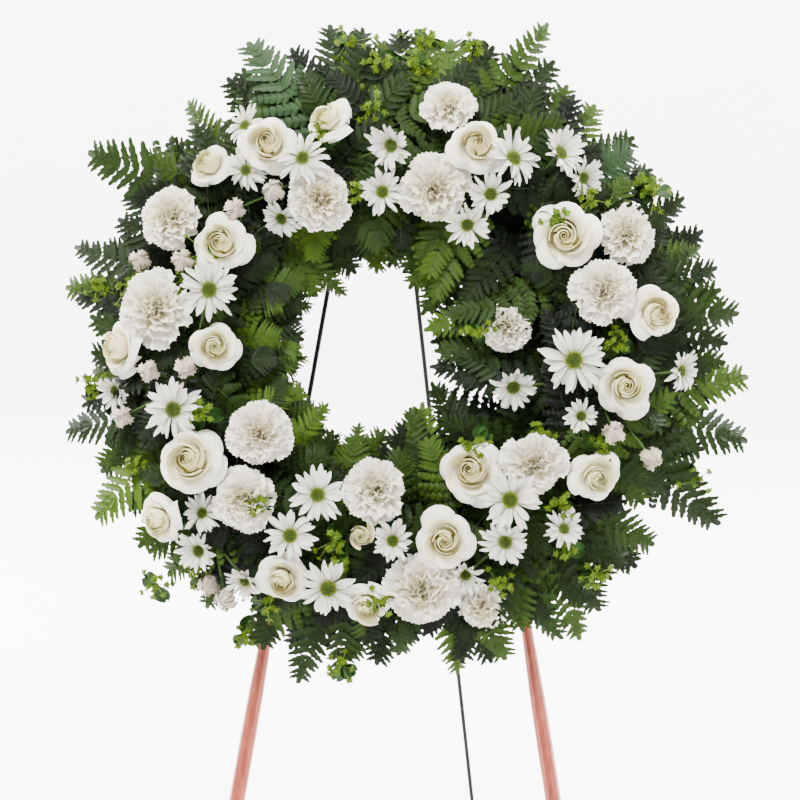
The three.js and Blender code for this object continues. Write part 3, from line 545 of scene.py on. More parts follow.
def bud_sheets(radius):
    """A small closed mum: narrow petals laid up a ball, from below to over its top.

    A petal's distance from the axis and its height are the sine and cosine of an angle that runs from
    low on the ball to near the top. Its half-width is a half sine of b.
    """
    b, a = petal_grid(7, 5)
    sheets = []
    for i in range(MUM_BUD_PETALS):
        size = radius * (1.0 if i % 2 else 0.80) * RNG.uniform(0.92, 1.06)
        end = RNG.uniform(0.10, 0.55)
        fall = 2.3 + (end - 2.3) * b
        width = 0.185 * size * np.sin(np.clip(0.12 + 0.84 * b, 0, 1) * math.pi) ** 0.6
        out = size * np.sin(fall) + 0.10 * size * a ** 2
        points = np.stack([out, a * width, size * 1.15 * np.cos(fall)], axis=-1)
        sheets.append(turned(points, i * GOLDEN))
    return np.array(sheets)


def tube(path, radius, sides=6):
    """A round stalk: a circle of points carried along a path, as one closed-round grid."""
    path = np.asarray(path, dtype=float)
    tangent = unit(np.gradient(path, axis=0))
    side = unit(np.cross(tangent, [0.31, 0.22, 0.93]))
    other = np.cross(tangent, side)
    angle = np.linspace(0, TURN, sides + 1)
    size = np.broadcast_to(np.asarray(radius, dtype=float), (len(path),))[:, None, None]
    ring = side[:, None] * np.cos(angle)[None, :, None] + other[:, None] * np.sin(angle)[None, :, None]
    return path[:, None] + ring * size


def bezier(root, bend, tip, count):
    """Points of the curve from root to tip that leaves towards bend."""
    t = np.linspace(0, 1, count)[:, None]
    return root * (1 - t) ** 2 + 2 * bend * t * (1 - t) + tip * t ** 2


def blades(sheaf, base, direction, cross, normal, length, half, shade, tint):
    """Toothed lance blades, one for each base point.

    The half-width is (s + 0.05)^0.35 (1.02 - s)^0.7 along the blade, times a saw-tooth whose points lean
    forward. The blade folds up a little at its rib and droops by the distance squared.
    """
    s, a = petal_grid(13, 3)
    saw = np.mod(s * 4.0 + 0.001, 1.0)
    outline = 1.45 * (s + 0.05) ** 0.35 * (1.02 - s) ** 0.7 * (0.74 + 0.44 * saw)
    out = length[:, None, None] * (s + 0.05 * np.abs(a) * saw)
    wide = half[:, None, None] * outline * a
    lift = 0.28 * np.abs(wide) - 0.14 * out * s
    grids = (base[:, None, None] + direction[:, None, None] * out[..., None]
             + cross[:, None, None] * wide[..., None] + normal[:, None, None] * lift[..., None])
    sheaf.add(grids, shade=shade, tint=tint)


def frond(sheaf, root, tip, rise, width, pairs, lobes, shade, bare):
    """A leatherleaf frond: pinnae in pairs along an arched rib, which end in one toothed blade.

    A pinna's reach grows over the first fifth of the frond and then falls evenly to the tip, and the
    pinnae stand closer towards it. The lower pinnae carry oval pinnules in pairs, which shrink towards
    the pinna's tip. The upper ones are toothed blades. Each leans forward and droops by its distance
    squared, and the whole frond is rolled a little about its rib. The first share of the rib is bare.
    """
    middle = (root + tip) / 2 + np.array([0.0, 0.0, rise])
    path = bezier(root, middle, tip, 60)
    # The rib takes painted shade from its frond's shade: darker where the frond lies deep
    stalks.add(tube(path[::5], np.linspace(1.0, 0.35, 12), 5), shade=0.1 + 0.3 * shade)
    ends = -(-pairs // 2) + 2
    lower = bare + (1 - bare) * 0.52 * (np.arange(pairs // 2) + 0.2) / (pairs // 2)
    upper = bare + (1 - bare) * (0.52 + 0.40 * (1 - (1 - (np.arange(ends) + 0.3) / ends) ** 1.25))
    t = np.concatenate([lower, upper])
    at = np.clip((t * 59).astype(int), 1, 58)
    tangent = unit(path[at + 1] - path[at - 1])
    flat = unit(np.array([0.0, 0.0, 1.0]) - tangent * tangent[:, 2:3])
    level = np.cross(tangent, flat)
    roll = RNG.uniform(-0.5, 0.5)
    normal = flat * math.cos(roll) - level * math.sin(roll)
    side = level * math.cos(roll) + flat * math.sin(roll)
    along = (t - bare) / (1 - bare)
    reach = (width / 2) * np.where(along < 0.2, 0.82 + 1.1 * along, 1.06 - (along - 0.2) * 0.98)
    gap = np.linalg.norm(tip - root) * np.gradient(t)
    count = len(lower)
    s = (np.arange(lobes) + 0.4) / lobes
    b, a = petal_grid(PINNULE_ROWS, 3)
    oval = np.sin(np.clip(0.16 + 0.82 * b, 0, 1) * math.pi) ** 0.75
    tone = RNG.uniform(0.2, 0.8)
    own = RNG.uniform(-0.12, 0.12, len(t))
    for sign in (-1.0, 1.0):
        length = reach * RNG.uniform(0.92, 1.06, len(t))
        droop = RNG.uniform(0.04, 0.34, len(t))
        direction = unit(side * sign + tangent * (0.42 + 0.45 * along[:, None]))
        cross = unit(tangent - direction * np.sum(tangent * direction, axis=1)[:, None])
        blades(sheaf, path[at[count:]], direction[count:], -sign * cross[count:], normal[count:],
               length[count:], np.minimum(gap[count:] * 0.60, length[count:] * 0.26), shade,
               tone + own[count:])
        fall = (droop * length)[:count, None] * s ** 2
        foot = path[at[:count]][:, None]
        base = (foot + direction[:count, None] * (length[:count, None] * s)[..., None]
                - normal[:count, None] * fall[..., None])
        leaf = np.minimum(gap * 0.66, length * 0.38)[:count, None] * (1 - 0.72 * s ** 1.2) + 0.7
        half = (length / lobes)[:count, None] * (0.40 + 0.16 * s) + 0.3
        for hand in (-1.0, 1.0):
            aim = unit(cross[:count] * hand + direction[:count] * 0.85)
            over = unit(direction[:count] - aim * np.sum(direction[:count] * aim, axis=1)[:, None])
            out = leaf[:, :, None, None] * b
            wide = half[:, :, None, None] * a * oval
            lift = -0.30 * out * b - 0.35 * np.abs(wide) + 0.3
            grids = (base[:, :, None, None] + aim[:, None, None, None] * out[..., None]
                     + over[:, None, None, None] * wide[..., None] * (hand * sign)
                     + normal[:count, None, None, None] * lift[..., None])
            tints = np.repeat(tone + own[:count], lobes) + RNG.uniform(-0.10, 0.10, count * lobes)
            sheaf.add(grids.reshape(-1, PINNULE_ROWS, 3, 3), shade=shade, tint=tints)
        run = np.linspace(0, 1, 4)
        spine = (foot + direction[:count, None] * (length[:count, None] * run)[..., None]
                 - normal[:count, None] * ((droop * length)[:count, None] * run ** 2)[..., None])
        edge = cross[:count, None] * (-sign * half[:, :1] * 0.45 * (1.05 - run))[..., None]
        sheaf.add(np.stack([spine - edge, spine + edge], axis=2), shade=shade, tint=tone + own[:count])
    start = max(30, 59 - round(59 * 0.36 * width / np.linalg.norm(tip - root)))
    last = path[-1] - path[start]
    blades(sheaf, path[start][None], unit(last)[None], side[-1:], normal[-1:],
           np.array([np.linalg.norm(last)]), np.array([0.10 * width]), shade, np.array([tone]))


def under_frond(sheaf, root, tip, rise, width, pairs, shade):
    """A frond that lies deep and shows only in gaps: broad leaflets with a lobed outline.

    A leaflet's half-width falls to its tip by a power of the distance, times a rounded comb.
    """
    middle = (root + tip) / 2 + np.array([0.0, 0.0, rise])
    path = bezier(root, middle, tip, 40)
    t = 0.08 + 0.92 * (np.arange(pairs) + 0.2) / pairs
    at = np.clip((t * 39).astype(int), 1, 38)
    tangent = unit(path[at + 1] - path[at - 1])
    normal = unit(np.array([0.0, 0.0, 1.0]) - tangent * tangent[:, 2:3])
    side = np.cross(tangent, normal)
    reach = (width / 2) * np.minimum(0.8 + t, 1.18 - t)
    half = 0.62 * np.linalg.norm(tip - root) / pairs
    s, a = petal_grid(8, 3)
    outline = (1.01 - s) ** 0.55 * (0.72 + 0.28 * np.cos(s * 3.5 * TURN))
    tone = RNG.uniform(0.1, 0.7)
    for sign in (-1.0, 1.0):
        length = reach * RNG.uniform(0.9, 1.08, pairs)
        tilt = RNG.uniform(-0.35, 0.35, pairs)[:, None, None]
        direction = unit(side * sign + tangent * (0.35 + 0.4 * t[:, None]))
        cross = unit(tangent - direction * np.sum(tangent * direction, axis=1)[:, None])
        out = length[:, None, None] * s
        wide = half * a * outline * np.minimum(1, length / (0.3 * width))[:, None, None]
        lift = tilt * wide - 0.16 * out * s
        grids = (path[at][:, None, None] + direction[:, None, None] * out[..., None]
                 + cross[:, None, None] * wide[..., None] * -sign + normal[:, None, None] * lift[..., None])
        sheaf.add(grids, shade=shade, tint=tone + RNG.uniform(-0.15, 0.15, pairs))


def hares_ear(sheaf, centre, size):
    """A hare's-ear head: small stars of pointed bracts round tight florets, and round leaves below."""
    b, a = petal_grid(4, 3)
    offsets = RNG.normal(0, 1, (STARS, 3)) * size * np.array([0.40, 0.40, 0.18])
    for i, offset in enumerate(offsets):
        middle = centre + offset
        facing = unit(np.array([offset[0], offset[1], size * 0.9]) + RNG.normal(0, 0.15, 3) * size)
        side = unit(np.cross([0.0, 1.0, 0.1], facing))
        axes = np.array([side, np.cross(facing, side), facing])
        stalks.add(tube(bezier(centre - [0, 0, size], centre, middle, 4), 0.4, 4), shade=0.9)
        grids = []
        for k in range(BRACTS):
            length = size * 0.24 * RNG.uniform(0.8, 1.2)
            width = length * 0.36 * np.sin(np.clip(0.12 + 0.86 * b, 0, 1) * math.pi) ** 0.8
            points = np.stack([length * b, -a * width, 0.3 * length * b + 0.1 * a ** 2 * length], axis=-1)
            grids.append(turned(points, k * FIFTH_TURN + i) @ axes + middle)
        sheaf.add(np.array(grids), shade=RNG.uniform(0.55, 0.8))
        angle = np.arange(STAR_FLORETS) * GOLDEN
        ring = size * 0.07 * np.sqrt(np.arange(STAR_FLORETS))
        florets = np.stack([ring * np.cos(angle), ring * np.sin(angle), size * (0.10 - 0.02 * ring)],
                           axis=-1)
        sheaf.add(ball_grids(florets @ axes + middle, size * 0.052), shade=RNG.uniform(0.0, 0.35))
    b, a = petal_grid(7, 5)
    for _ in range(3):
        angle = RNG.uniform(0, ANY_TURN)
        facing = unit([0.5 * math.cos(angle), 0.5 * math.sin(angle), 1.0])
        side = unit(np.cross([0.0, 1.0, 0.1], facing))
        axes = np.array([side, np.cross(facing, side), facing])
        length = size * RNG.uniform(0.9, 1.4)
        width = length * 0.36 * np.sin(np.clip(0.05 + 0.92 * b, 0, 1) * math.pi) ** 0.7
        points = np.stack([length * b, -a * width, 0.22 * length * a ** 2 - 0.25 * length * b ** 2],
                          axis=-1)
        sheaf.add(turned(points, angle) @ axes + centre - np.array([0, 0, size * 0.5]), shade=1.0)


def ring_grid(profile, sides=120):
    """A ring: a closed profile of (distance, w) points carried once round the wreath's middle."""
    profile = np.array(list(profile) + [profile[0]])[::-1]
    angle = np.linspace(0, TURN, sides + 1)[:, None]
    across = profile[None, :, 0]
    return np.stack([across * np.cos(angle), across * np.sin(angle),
                     np.broadcast_to(profile[None, :, 1], (sides + 1, len(profile)))], axis=-1)


def rounded(corners, radius, steps=4):
    """A closed profile with each corner cut by a quadratic curve that starts radius away from it."""
    corners = np.array(corners, dtype=float)
    points = []
    for i, corner in enumerate(corners):
        before = unit(corners[i - 1] - corner) * radius
        after = unit(corners[(i + 1) % len(corners)] - corner) * radius
        points.extend(bezier(corner + before, corner, corner + after, steps))
    return points


def node_tree(name):
    """A new material, a function that adds one node with its settings and links, and its shader."""
    material = bpy.data.materials.new(name)
    material.use_nodes = True
    tree = material.node_tree

    def join_up(node, inputs):
        for key, value in inputs.items():
            if isinstance(value, bpy.types.NodeSocket):
                tree.links.new(value, node.inputs[key])
            else:
                node.inputs[key].default_value = value

    def add(kind, inputs, stops=(), **settings):
        made = tree.nodes.new(kind)
        for key, value in settings.items():
            setattr(made, key, value)
        join_up(made, inputs)
        for i, (position, code) in enumerate(stops):
            elements = made.color_ramp.elements
            element = elements[i] if i < 2 else elements.new(position)
            element.position = position
            element.color = to_linear(code)
        return made

    def finish(**inputs):
        join_up(tree.nodes["Principled BSDF"], {key.replace("_", " "): v for key, v in inputs.items()})
        return material

    return add, finish


def petal_material(name, hearts, rims, roughness, vein_count, vein_depth):
    """A soft petal, grown thin and moist. Light comes through it and no gloss shows.

    Its colour runs from the heart to the outer petals and along each petal, and fine veins run along.
    """
    add, finish = node_tree(name)
    shade = add("ShaderNodeAttribute", {}, attribute_name="shade").outputs["Fac"]
    tint = add("ShaderNodeAttribute", {}, attribute_name="tint").outputs["Fac"]
    uv = add("ShaderNodeUVMap", {}, uv_map="grid").outputs["UV"]
    along = add("ShaderNodeSeparateXYZ", {"Vector": uv}).outputs["Y"]
    base = add("ShaderNodeValToRGB", {"Fac": shade}, hearts).outputs["Color"]
    rim = add("ShaderNodeValToRGB", {"Fac": along}, rims).outputs["Color"]
    mixed = add("ShaderNodeMix", {"Factor": 1.0, 6: base, 7: rim}, data_type="RGBA", blend_type="MULTIPLY")
    value = add("ShaderNodeMapRange", {"Value": tint, "To Min": 0.94, "To Max": 1.03}).outputs["Result"]
    colour = add("ShaderNodeHueSaturation", {"Value": value, "Color": mixed.outputs[2]}).outputs["Color"]
    veins = add("ShaderNodeTexWave", {"Vector": uv, "Scale": vein_count, "Distortion": 1.2, "Detail": 2.0},
                wave_type="BANDS", bands_direction="X").outputs["Fac"]
    bump = add("ShaderNodeBump", {"Height": veins, "Strength": vein_depth, "Distance": 0.0006})
    return finish(Base_Color=colour, Normal=bump.outputs["Normal"], Roughness=roughness,
                  Subsurface_Weight=0.2, Subsurface_Radius=(0.006, 0.005, 0.0035), Subsurface_Scale=0.6,
                  Sheen_Weight=0.12, Specular_IOR_Level=0.3)


def leaf_material(name, stops, roughness, specular):
    """A waxy leaf, grown thin: paler along its rib, a little mottled, with a faint relief of veins."""
    add, finish = node_tree(name)
    shade = add("ShaderNodeAttribute", {}, attribute_name="shade").outputs["Fac"]
    tint = add("ShaderNodeAttribute", {}, attribute_name="tint").outputs["Fac"]
    uv = add("ShaderNodeUVMap", {}, uv_map="grid").outputs["UV"]
    across = add("ShaderNodeSeparateXYZ", {"Vector": uv}).outputs["X"]
    coords = add("ShaderNodeTexCoord", {}).outputs["Object"]
    base = add("ShaderNodeValToRGB", {"Fac": shade}, stops).outputs["Color"]
    off = add("ShaderNodeMath", {0: across, 1: 0.5}, operation="SUBTRACT").outputs[0]
    rib = add("ShaderNodeMath", {0: off}, operation="ABSOLUTE").outputs[0]
    pale = add("ShaderNodeMapRange", {"Value": rib, "From Max": 0.14, "To Min": 1.35, "To Max": 1.0})
    mottle = add("ShaderNodeTexNoise", {"Vector": coords, "Scale": 1000 / LEAF_PATCH,
                                        "Detail": 3.0}).outputs["Fac"]
    patch = add("ShaderNodeMapRange", {"Value": mottle, "To Min": 0.72, "To Max": 1.28}).outputs["Result"]
    each = add("ShaderNodeMapRange", {"Value": tint, "To Min": 0.72, "To Max": 1.30}).outputs["Result"]
    first = add("ShaderNodeMath", {0: pale.outputs["Result"], 1: patch}, operation="MULTIPLY").outputs[0]
    value = add("ShaderNodeMath", {0: first, 1: each}, operation="MULTIPLY").outputs[0]
    colour = add("ShaderNodeHueSaturation", {"Value": value, "Color": base}).outputs["Color"]
    veins = add("ShaderNodeTexWave", {"Vector": uv, "Scale": 6.0, "Distortion": 1.0},
                wave_type="BANDS", bands_direction="Y").outputs["Fac"]
    bump = add("ShaderNodeBump", {"Height": veins, "Strength": 0.35, "Distance": 0.0005})
    return finish(Base_Color=colour, Normal=bump.outputs["Normal"], Roughness=roughness,
                  Specular_IOR_Level=specular)


def grained_material(name, stops, spot, stretch, roughness, bump_depth, specular=0.5):
    """A worked surface whose colour wanders between stops by noise drawn out along one direction.

    spot is the size of one spot in millimetres, and stretch divides it along each axis. bump_depth is
    in metres.
    """
    add, finish = node_tree(name)
    coords = add("ShaderNodeTexCoord", {}).outputs["Object"]
    turned_map = add("ShaderNodeMapping", {"Vector": coords, "Rotation": (LEAN, 0, 0), "Scale": stretch})
    noise = add("ShaderNodeTexNoise", {"Vector": turned_map.outputs["Vector"], "Scale": 1000 / spot,
                                       "Detail": 6.0, "Roughness": 0.62})
    colour = add("ShaderNodeValToRGB", {"Fac": noise.outputs["Fac"]}, stops).outputs["Color"]
    rough = add("ShaderNodeMapRange", {"Value": noise.outputs["Fac"], "To Min": roughness[0],
                                       "To Max": roughness[1]}).outputs["Result"]
    bump = add("ShaderNodeBump", {"Height": noise.outputs["Fac"], "Strength": 0.5, "Distance": bump_depth})
    return finish(Base_Color=colour, Normal=bump.outputs["Normal"], Roughness=rough,
                  Specular_IOR_Level=specular)


def make_camera():
    """The camera, square to the leaning plane and turned to its azimuth, framing 800 mm at the ring."""
    target = place([[AIM[0], AIM[1], 0.0]])[0]
    c, s = math.cos(VIEW_AZIMUTH), math.sin(VIEW_AZIMUTH)
    towards = np.array([OUT[0] * c - OUT[1] * s, OUT[0] * s + OUT[1] * c, OUT[2]])
    data = bpy.data.cameras.new("camera")
    data.sensor_width = 36.0
    data.lens = 18.0 * EYE / VIEW_HALF
    camera = bpy.data.objects.new("camera", data)
    bpy.context.scene.collection.objects.link(camera)
    right = unit(np.cross([0, 0, 1.0], towards))
    matrix = np.eye(4)
    matrix[:3, 0] = right
    matrix[:3, 1] = np.cross(towards, right)
    matrix[:3, 2] = towards
    matrix[:3, 3] = target + towards * EYE / 1000
    camera.matrix_world = Matrix(matrix.tolist())
    bpy.context.scene.camera = camera


def stage_light(name, size, power, distance, direction, target=None):
    """A square soft light that stands in its direction from the wreath and shines at its target."""
    data = bpy.data.lights.new(name, "AREA")
    data.size = size
    data.energy = power
    lamp = bpy.data.objects.new(name, data)
    bpy.context.scene.collection.objects.link(lamp)
    spot = CENTRE + unit(direction) * distance
    back = unit(spot - (CENTRE if target is None else np.array(target)))
    side = unit(np.cross([0.001, 0.0, 1.0], back))
    matrix = np.eye(4)
    matrix[:3, 0] = side
    matrix[:3, 1] = np.cross(back, side)
    matrix[:3, 2] = back
    matrix[:3, 3] = spot
    lamp.matrix_world = Matrix(matrix.tolist())


make_camera()

# Rose petals, grown thick and velvety: soft matt white that warms to cream and green in the heart
ROSE_PETAL = petal_material(
    "white_rose_petal",
    [(0.0, "DAD287"), (0.3, "E5DEA4"), (0.55, "ECE6BE"), (0.72, "F0EBD6"), (1.0, "F2EFE2")],
    [(0.0, "CDD29E"), (0.5, "F2EEDC"), (1.0, "FFFFFF")],
    0.55, 9.0, 0.25)
# Carnation petals, grown thin and crumpled: dry ivory, with painted shade as a grey-green at each
# petal's root, deep in the folds
CARNATION_PETAL = petal_material(
    "white_carnation_petal",
    [(0.0, "F1EACB"), (0.5, "F3EDDA"), (1.0, "F4EFE2")],
    [(0.0, "B4B88C"), (0.45, "E4DFCB"), (1.0, "FFFFFF")],
    0.65, 7.0, 0.3)
# Mum petals, grown narrow and firm: cool clear white with a groove along each. The buds are rosy grey,
# partly their own tone and partly painted shade between their petals
DAISY_PETAL = petal_material(
    "white_mum_petal",
    [(0.0, "CDBCA8"), (0.4, "F0EEE4"), (1.0, "F5F2EA")],
    [(0.0, "BCC08E"), (0.3, "E4E4DC"), (1.0, "FFFFFF")],
    0.5, 2.0, 0.5)
# Mum florets, grown packed in a button: rough, dark green in the middle and gold outside
DAISY_EYE = leaf_material(
    "mum_florets", [(0.0, "3E4F0E"), (0.6, "6C8016"), (1.0, "A9AE2A")], 0.6, 0.3)
# Fern, grown thin under shade: satin. Its colour is painted shade and light by depth: nearly black where
# a frond lies deep, lighter green where it lies on top, and its own grey-green on the pale backs
FERN = leaf_material(
    "fern_leaf", [(0.0, "040802"), (0.45, "152604"), (0.85, "3D5610"), (1.0, "2A3E24")], 0.42, 0.12)
# Hare's-ear, grown waxy: matt yellow-green florets over darker round leaves
HARES_EAR = leaf_material(
    "hares_ear_leaf", [(0.0, "75820C"), (0.5, "55700E"), (0.8, "38560C"), (1.0, "1F3C0E")], 0.5, 0.2)
# Stalks and sepals, grown round and waxy: mid green with a soft sheen. The fronds' ribs are dark among
# the leaves as painted shade, following their fronds'
STALK = leaf_material("green_stalk", [(0.0, "14220A"), (0.5, "2A4012"), (1.0, "62782A")], 0.5, 0.2)
# Floral foam, blown and soaked: dead green, darkened to near black as painted shade where the greens
# cover it; its fine open cells give no shine
FOAM = grained_material(
    "floral_foam", [(0.3, "08120A"), (0.7, "0F1C12")], FOAM_CELL, (1, 1, 1), (0.8, 0.95), 0.0008,
    specular=0.2)
# Tray, moulded polypropylene: plain dark green with the mould's fine dull grain
TRAY = grained_material(
    "moulded_tray", [(0.3, "06100A"), (0.7, "0B1C0E")], MOULD_GRAIN, (1, 1, 1), (0.6, 0.8), 0.0002,
    specular=0.08)
# Legs, turned wood with a rose stain under satin varnish: long streaks and a soft highlight
ROSE_WOOD = grained_material(
    "rose_stained_wood", [(0.25, "6A2316"), (0.5, "8E3B28"), (0.75, "A4503A")], WOOD_STREAK,
    (4, 4, 0.3), (0.32, 0.5), 0.0003)
# Rods and head, drawn and pressed steel in dark satin paint: near black with a thin dull glint
DARK_STEEL = grained_material(
    "dark_painted_steel", [(0.3, "060706"), (0.7, "0C0E0C")], PAINT_SPOT, (1, 1, 0.3), (0.4, 0.55),
    0.0001, specular=0.1)
# Backdrop, pressed paper: an even pale sheet with no shine
PAPER = grained_material(
    "pale_studio_paper", [(0.3, "F4F4F3"), (0.7, "F8F8F7")], PAPER_CLOUD, (1, 1, 1), (0.8, 0.9), 0.0)

foam = Sheaf()
foam.add(ring_grid(rounded([
    (FOAM_INNER, -FOAM_BACK), (FOAM_OUTER, -FOAM_BACK), (FOAM_OUTER, -FOAM_SHOULDER),
    (FOAM_OUTER - FOAM_SHOULDER, 0), (FOAM_INNER + FOAM_SHOULDER, 0), (FOAM_INNER, -FOAM_SHOULDER),
], 3.0)))
foam.finish("foam", FOAM, "floral_foam", ["foam_ring"], closed=True)
tray = Sheaf()
tray.add(ring_grid(rounded([
    (TRAY_INNER, TRAY_BACK), (TRAY_OUTER, TRAY_BACK),
    (TRAY_OUTER, TRAY_TOP), (TRAY_OUTER - TRAY_WALL, TRAY_TOP),
    (TRAY_OUTER - TRAY_WALL, TRAY_BACK + TRAY_WALL), (TRAY_INNER + TRAY_WALL, TRAY_BACK + TRAY_WALL),
    (TRAY_INNER + TRAY_WALL, TRAY_TOP), (TRAY_INNER, TRAY_TOP),
], 0.9)))
tray.finish("round_tray", TRAY, "tray_plastic", ["tray"], closed=True)

# The solids that stay take their materials by the start of their name
FINISHES = {
    "front_leg": ROSE_WOOD,
    "front_rod": DARK_STEEL,
    "head_plate": DARK_STEEL,
    "hinge_pin": DARK_STEEL,
    "rear_leg": DARK_STEEL,
}
for node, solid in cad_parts.items():
    for start, finish in FINISHES.items():
        if node.startswith(start):
            for solid_slot in solid.material_slots:
                solid_slot.material = finish

stalks = Sheaf()
eyes = Sheaf()


def stem_and_sepals(centre, radius, axes):
    """The stem from behind a bloom into the foam, and the pointed sepals under the bloom."""
    distance = math.hypot(centre[0], centre[1])
    ring = min(STEM_FURTHEST, max(STEM_NEAREST, distance)) / distance
    entry = np.array([centre[0] * ring, centre[1] * ring, 0.0])
    facing = axes[2]
    back = centre - facing * radius * 0.5
    path = np.concatenate([bezier(back, back - facing * 10, entry, 10), [entry - [0, 0, STEM_DEPTH]]])
    stalks.add(tube(path, 2.0), shade=0.45)
    b, a = petal_grid(5, 3)
    out = radius * (0.08 + 0.55 * b)
    width = radius * 0.20 * (1.02 - b) ** 0.8
    points = np.stack([out, a * width, radius * (-0.62 - 0.12 * b + 0.35 * b ** 2)], axis=-1)
    sepals = np.array([turned(points, k * FIFTH_TURN) for k in range(SEPALS)])
    stalks.add(sepals @ axes + centre, shade=0.6)


for kind, rows, make, material in (("rose", ROSES, rose_sheets, ROSE_PETAL),
                                   ("carnation", CARNATIONS, carnation_sheets, CARNATION_PETAL)):
    for i, row in enumerate(rows):
        centre, radius, axes = stand(row)
        sheets, opens = make(radius)
        bloom = Sheaf()
        bloom.add(turned(sheets, RNG.uniform(0, ANY_TURN)) @ axes + centre, shade=opens)
        bloom.finish(f"{kind}_petals_{i + 1:02d}", material, f"{kind}_petal", [f"{kind}_{i + 1:02d}"])
        stem_and_sepals(centre, radius, axes)

for i, (hub, heads, buds) in enumerate(SPRAYS):
    bloom = Sheaf()
    foot = np.array([hub[0], hub[1], 6.0])
    stalks.add(tube([foot + [0, 0, 4], foot, foot - [0, 0, 30]], 2.4), shade=0.45)
    for row in heads:
        centre, radius, axes = stand(row)
        bloom.add(daisy_sheets(radius, RNG.uniform(-0.15, 0.45)) @ axes + centre)
        florets, outward = daisy_eye(radius)
        eyes.add(florets @ axes + centre, shade=outward * RNG.uniform(0.5, 1.0))
        stalks.add(tube(bezier(centre - axes[2], foot + [0, 0, 20], foot, 10), 1.4), shade=0.5)
    for u, v, lift in buds:
        centre = seen(u, v, dome(u, v) + lift)
        axes = stand((u, v, 10, lift, RNG.uniform(-0.3, 0.3), RNG.uniform(-0.3, 0.3)))[2]
        # The buds' rosy grey is partly their own tone and partly painted shade; the ball inside them,
        # darkest, is painted shade in the gaps between their petals
        bloom.add(bud_sheets(BUD_RADIUS) @ axes + centre, shade=0.04)
        bloom.add(ball_grids(np.array([centre]), BUD_CORE, rows=7), shade=0.0)
        stalks.add(tube(bezier(centre, foot + [0, 0, 20], foot, 10), 1.2), shade=0.5)
    bloom.finish(f"mum_petals_{i + 1:02d}", DAISY_PETAL, "daisy_petal", [f"daisy_spray_{i + 1:02d}"],
                 closed=True)
eyes.finish("mum_eyes", DAISY_EYE, "daisy_petal", closed=True)

ferns = [Sheaf() for _ in range(SECTORS)]
sprigs = [Sheaf() for _ in range(SECTORS)]

# Each frond's shade is painted shade and light: near black for deep and under fronds, lighter for fronds on
# top, and one for the pale backs
for i, (u, v, w, width) in enumerate(FRONDS + HEAD_FRONDS):
    k = sector_of((u, v))
    root = polar(HUB_RING, math.radians((k + 0.5) * 360 / SECTORS), HUB_HEIGHT)
    frond(ferns[k], root, seen(u, v, w), MAIN_ARCH, width * FROND_WIDER, 10, 6,
          1.0 if i in PALE else RNG.uniform(0.25, 0.8), 0.22)
for count, near, far, low, high, aside, width in FILLERS:
    for i in range(count):
        angle = TURN * (i + RNG.uniform(-0.3, 0.3)) / count
        side = angle + RNG.choice([-1, 1]) * aside * RNG.uniform(0.3, 1.0)
        reach = far + RNG.uniform(-14, 10)
        root = polar(near, angle, low)
        tip = polar(reach, side, high + RNG.uniform(-6, 6))
        frond(ferns[sector_of(root)], root, tip, FILLER_ARCH, width, 8, 5,
              RNG.uniform(0.0, 0.6), 0.12)
for count, past, low, high, width in INNER:
    for i in range(count):
        angle = TURN * (i + RNG.uniform(-0.3, 0.3)) / count
        out = past * RNG.uniform(0.95, 1.18)
        tip = round_hole(out, angle, high + RNG.uniform(-6, 6))
        root = polar(INNER_RING, math.atan2(tip[1], tip[0]) + RNG.uniform(-0.35, 0.35), low)
        frond(ferns[sector_of(root)], root, tip, INNER_ARCH, width, 9, 5,
              RNG.uniform(0.1, 0.75), 0.12)
for count, near, far, low, high, aside, width in DEEP:
    for i in range(count):
        angle = TURN * (i + RNG.uniform(-0.4, 0.4)) / count
        aim = angle + RNG.uniform(-aside, aside)
        root = polar(near, angle, low)
        tip = root + polar(far, aim, high - low)
        under_frond(ferns[sector_of(root)], root, tip, DEEP_ARCH, width, 7, RNG.uniform(0.0, 0.3))
for count, near, far, low, high in WALL_FRONDS:
    for i in range(count):
        angle = TURN * (i + RNG.uniform(-0.4, 0.4)) / count
        aim = angle + RNG.uniform(-0.16, 0.16)
        root = polar(near, angle, low)
        tip = polar(far, aim, high)
        under_frond(ferns[sector_of(root)], root, tip, WALL_ARCH, 60, 6, RNG.uniform(0.1, 0.45))
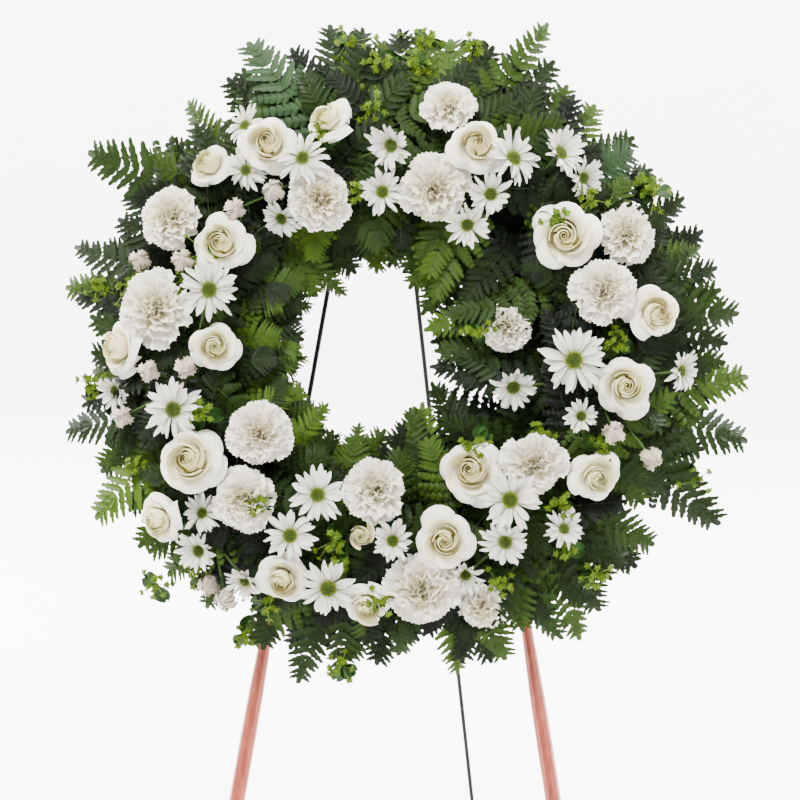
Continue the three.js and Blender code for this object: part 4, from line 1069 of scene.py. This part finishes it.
for i in range(HOLE_DEEP):
    angle = TURN * (i + RNG.uniform(-0.4, 0.4)) / HOLE_DEEP
    past = RNG.uniform(0.98, 1.32)
    tip = round_hole(past, angle, RNG.uniform(-16, 8))
    root = polar(HOLE_DEEP_RING, math.atan2(tip[1], tip[0]) + RNG.uniform(-0.3, 0.3), 6.0)
    under_frond(ferns[sector_of(root)], root, tip, HOLE_ARCH, 76, 8, RNG.uniform(0.0, 0.35))
for u, v, w in CLUSTERS:
    hares_ear(sprigs[sector_of((u, v))], seen(u, v, w), HEAD_SIZE)
for k in range(SECTORS):
    ferns[k].finish(f"fern_{k + 1:02d}", FERN, "fern_green", [f"greenery_{k + 1:02d}"])
    if sprigs[k].count:
        sprigs[k].finish(f"hares_ear_{k + 1:02d}", HARES_EAR, "fern_green", closed=True)
stalks.finish("stalks", STALK, "fern_green", closed=True)

# Floor and backdrop in one pale round sheet that curves up all about
bend = np.linspace(0, math.pi / 2, BEND_ROWS)[1:]
out = np.concatenate([np.linspace(0.001, FLOOR_FLAT, FLAT_ROWS), FLOOR_FLAT + FLOOR_BEND * np.sin(bend),
                      [FLOOR_FLAT + FLOOR_BEND]])
rise = np.concatenate([np.zeros(FLAT_ROWS), FLOOR_BEND * (1 - np.cos(bend)), [WALL_TOP]])
around = np.linspace(0, TURN, FLOOR_COLUMNS)[:, None]
height = np.broadcast_to(rise, (FLOOR_COLUMNS, len(out)))
sheet = np.stack([out * np.cos(around), out * np.sin(around), height], axis=-1)
index = np.arange(sheet.shape[0] * sheet.shape[1]).reshape(sheet.shape[:2])
quads = np.stack([index[1:, :-1], index[1:, 1:], index[:-1, 1:], index[:-1, :-1]], axis=-1)
floor_mesh = bpy.data.meshes.new("floor")
floor_mesh.from_pydata(sheet.reshape(-1, 3), [], quads.reshape(-1, 4).tolist())
floor_mesh.shade_smooth()
floor_mesh.materials.append(PAPER)
floor = bpy.data.objects.new("floor", floor_mesh)
bpy.context.scene.collection.objects.link(floor)

for light in LIGHTS:
    stage_light(*light)
world = bpy.data.worlds.new("soft_room")
world.use_nodes = True
world.node_tree.nodes["Background"].inputs["Color"].default_value = (1.0, 1.0, 1.0, 1.0)
world.node_tree.nodes["Background"].inputs["Strength"].default_value = ROOM_LIGHT
bpy.context.scene.world = world
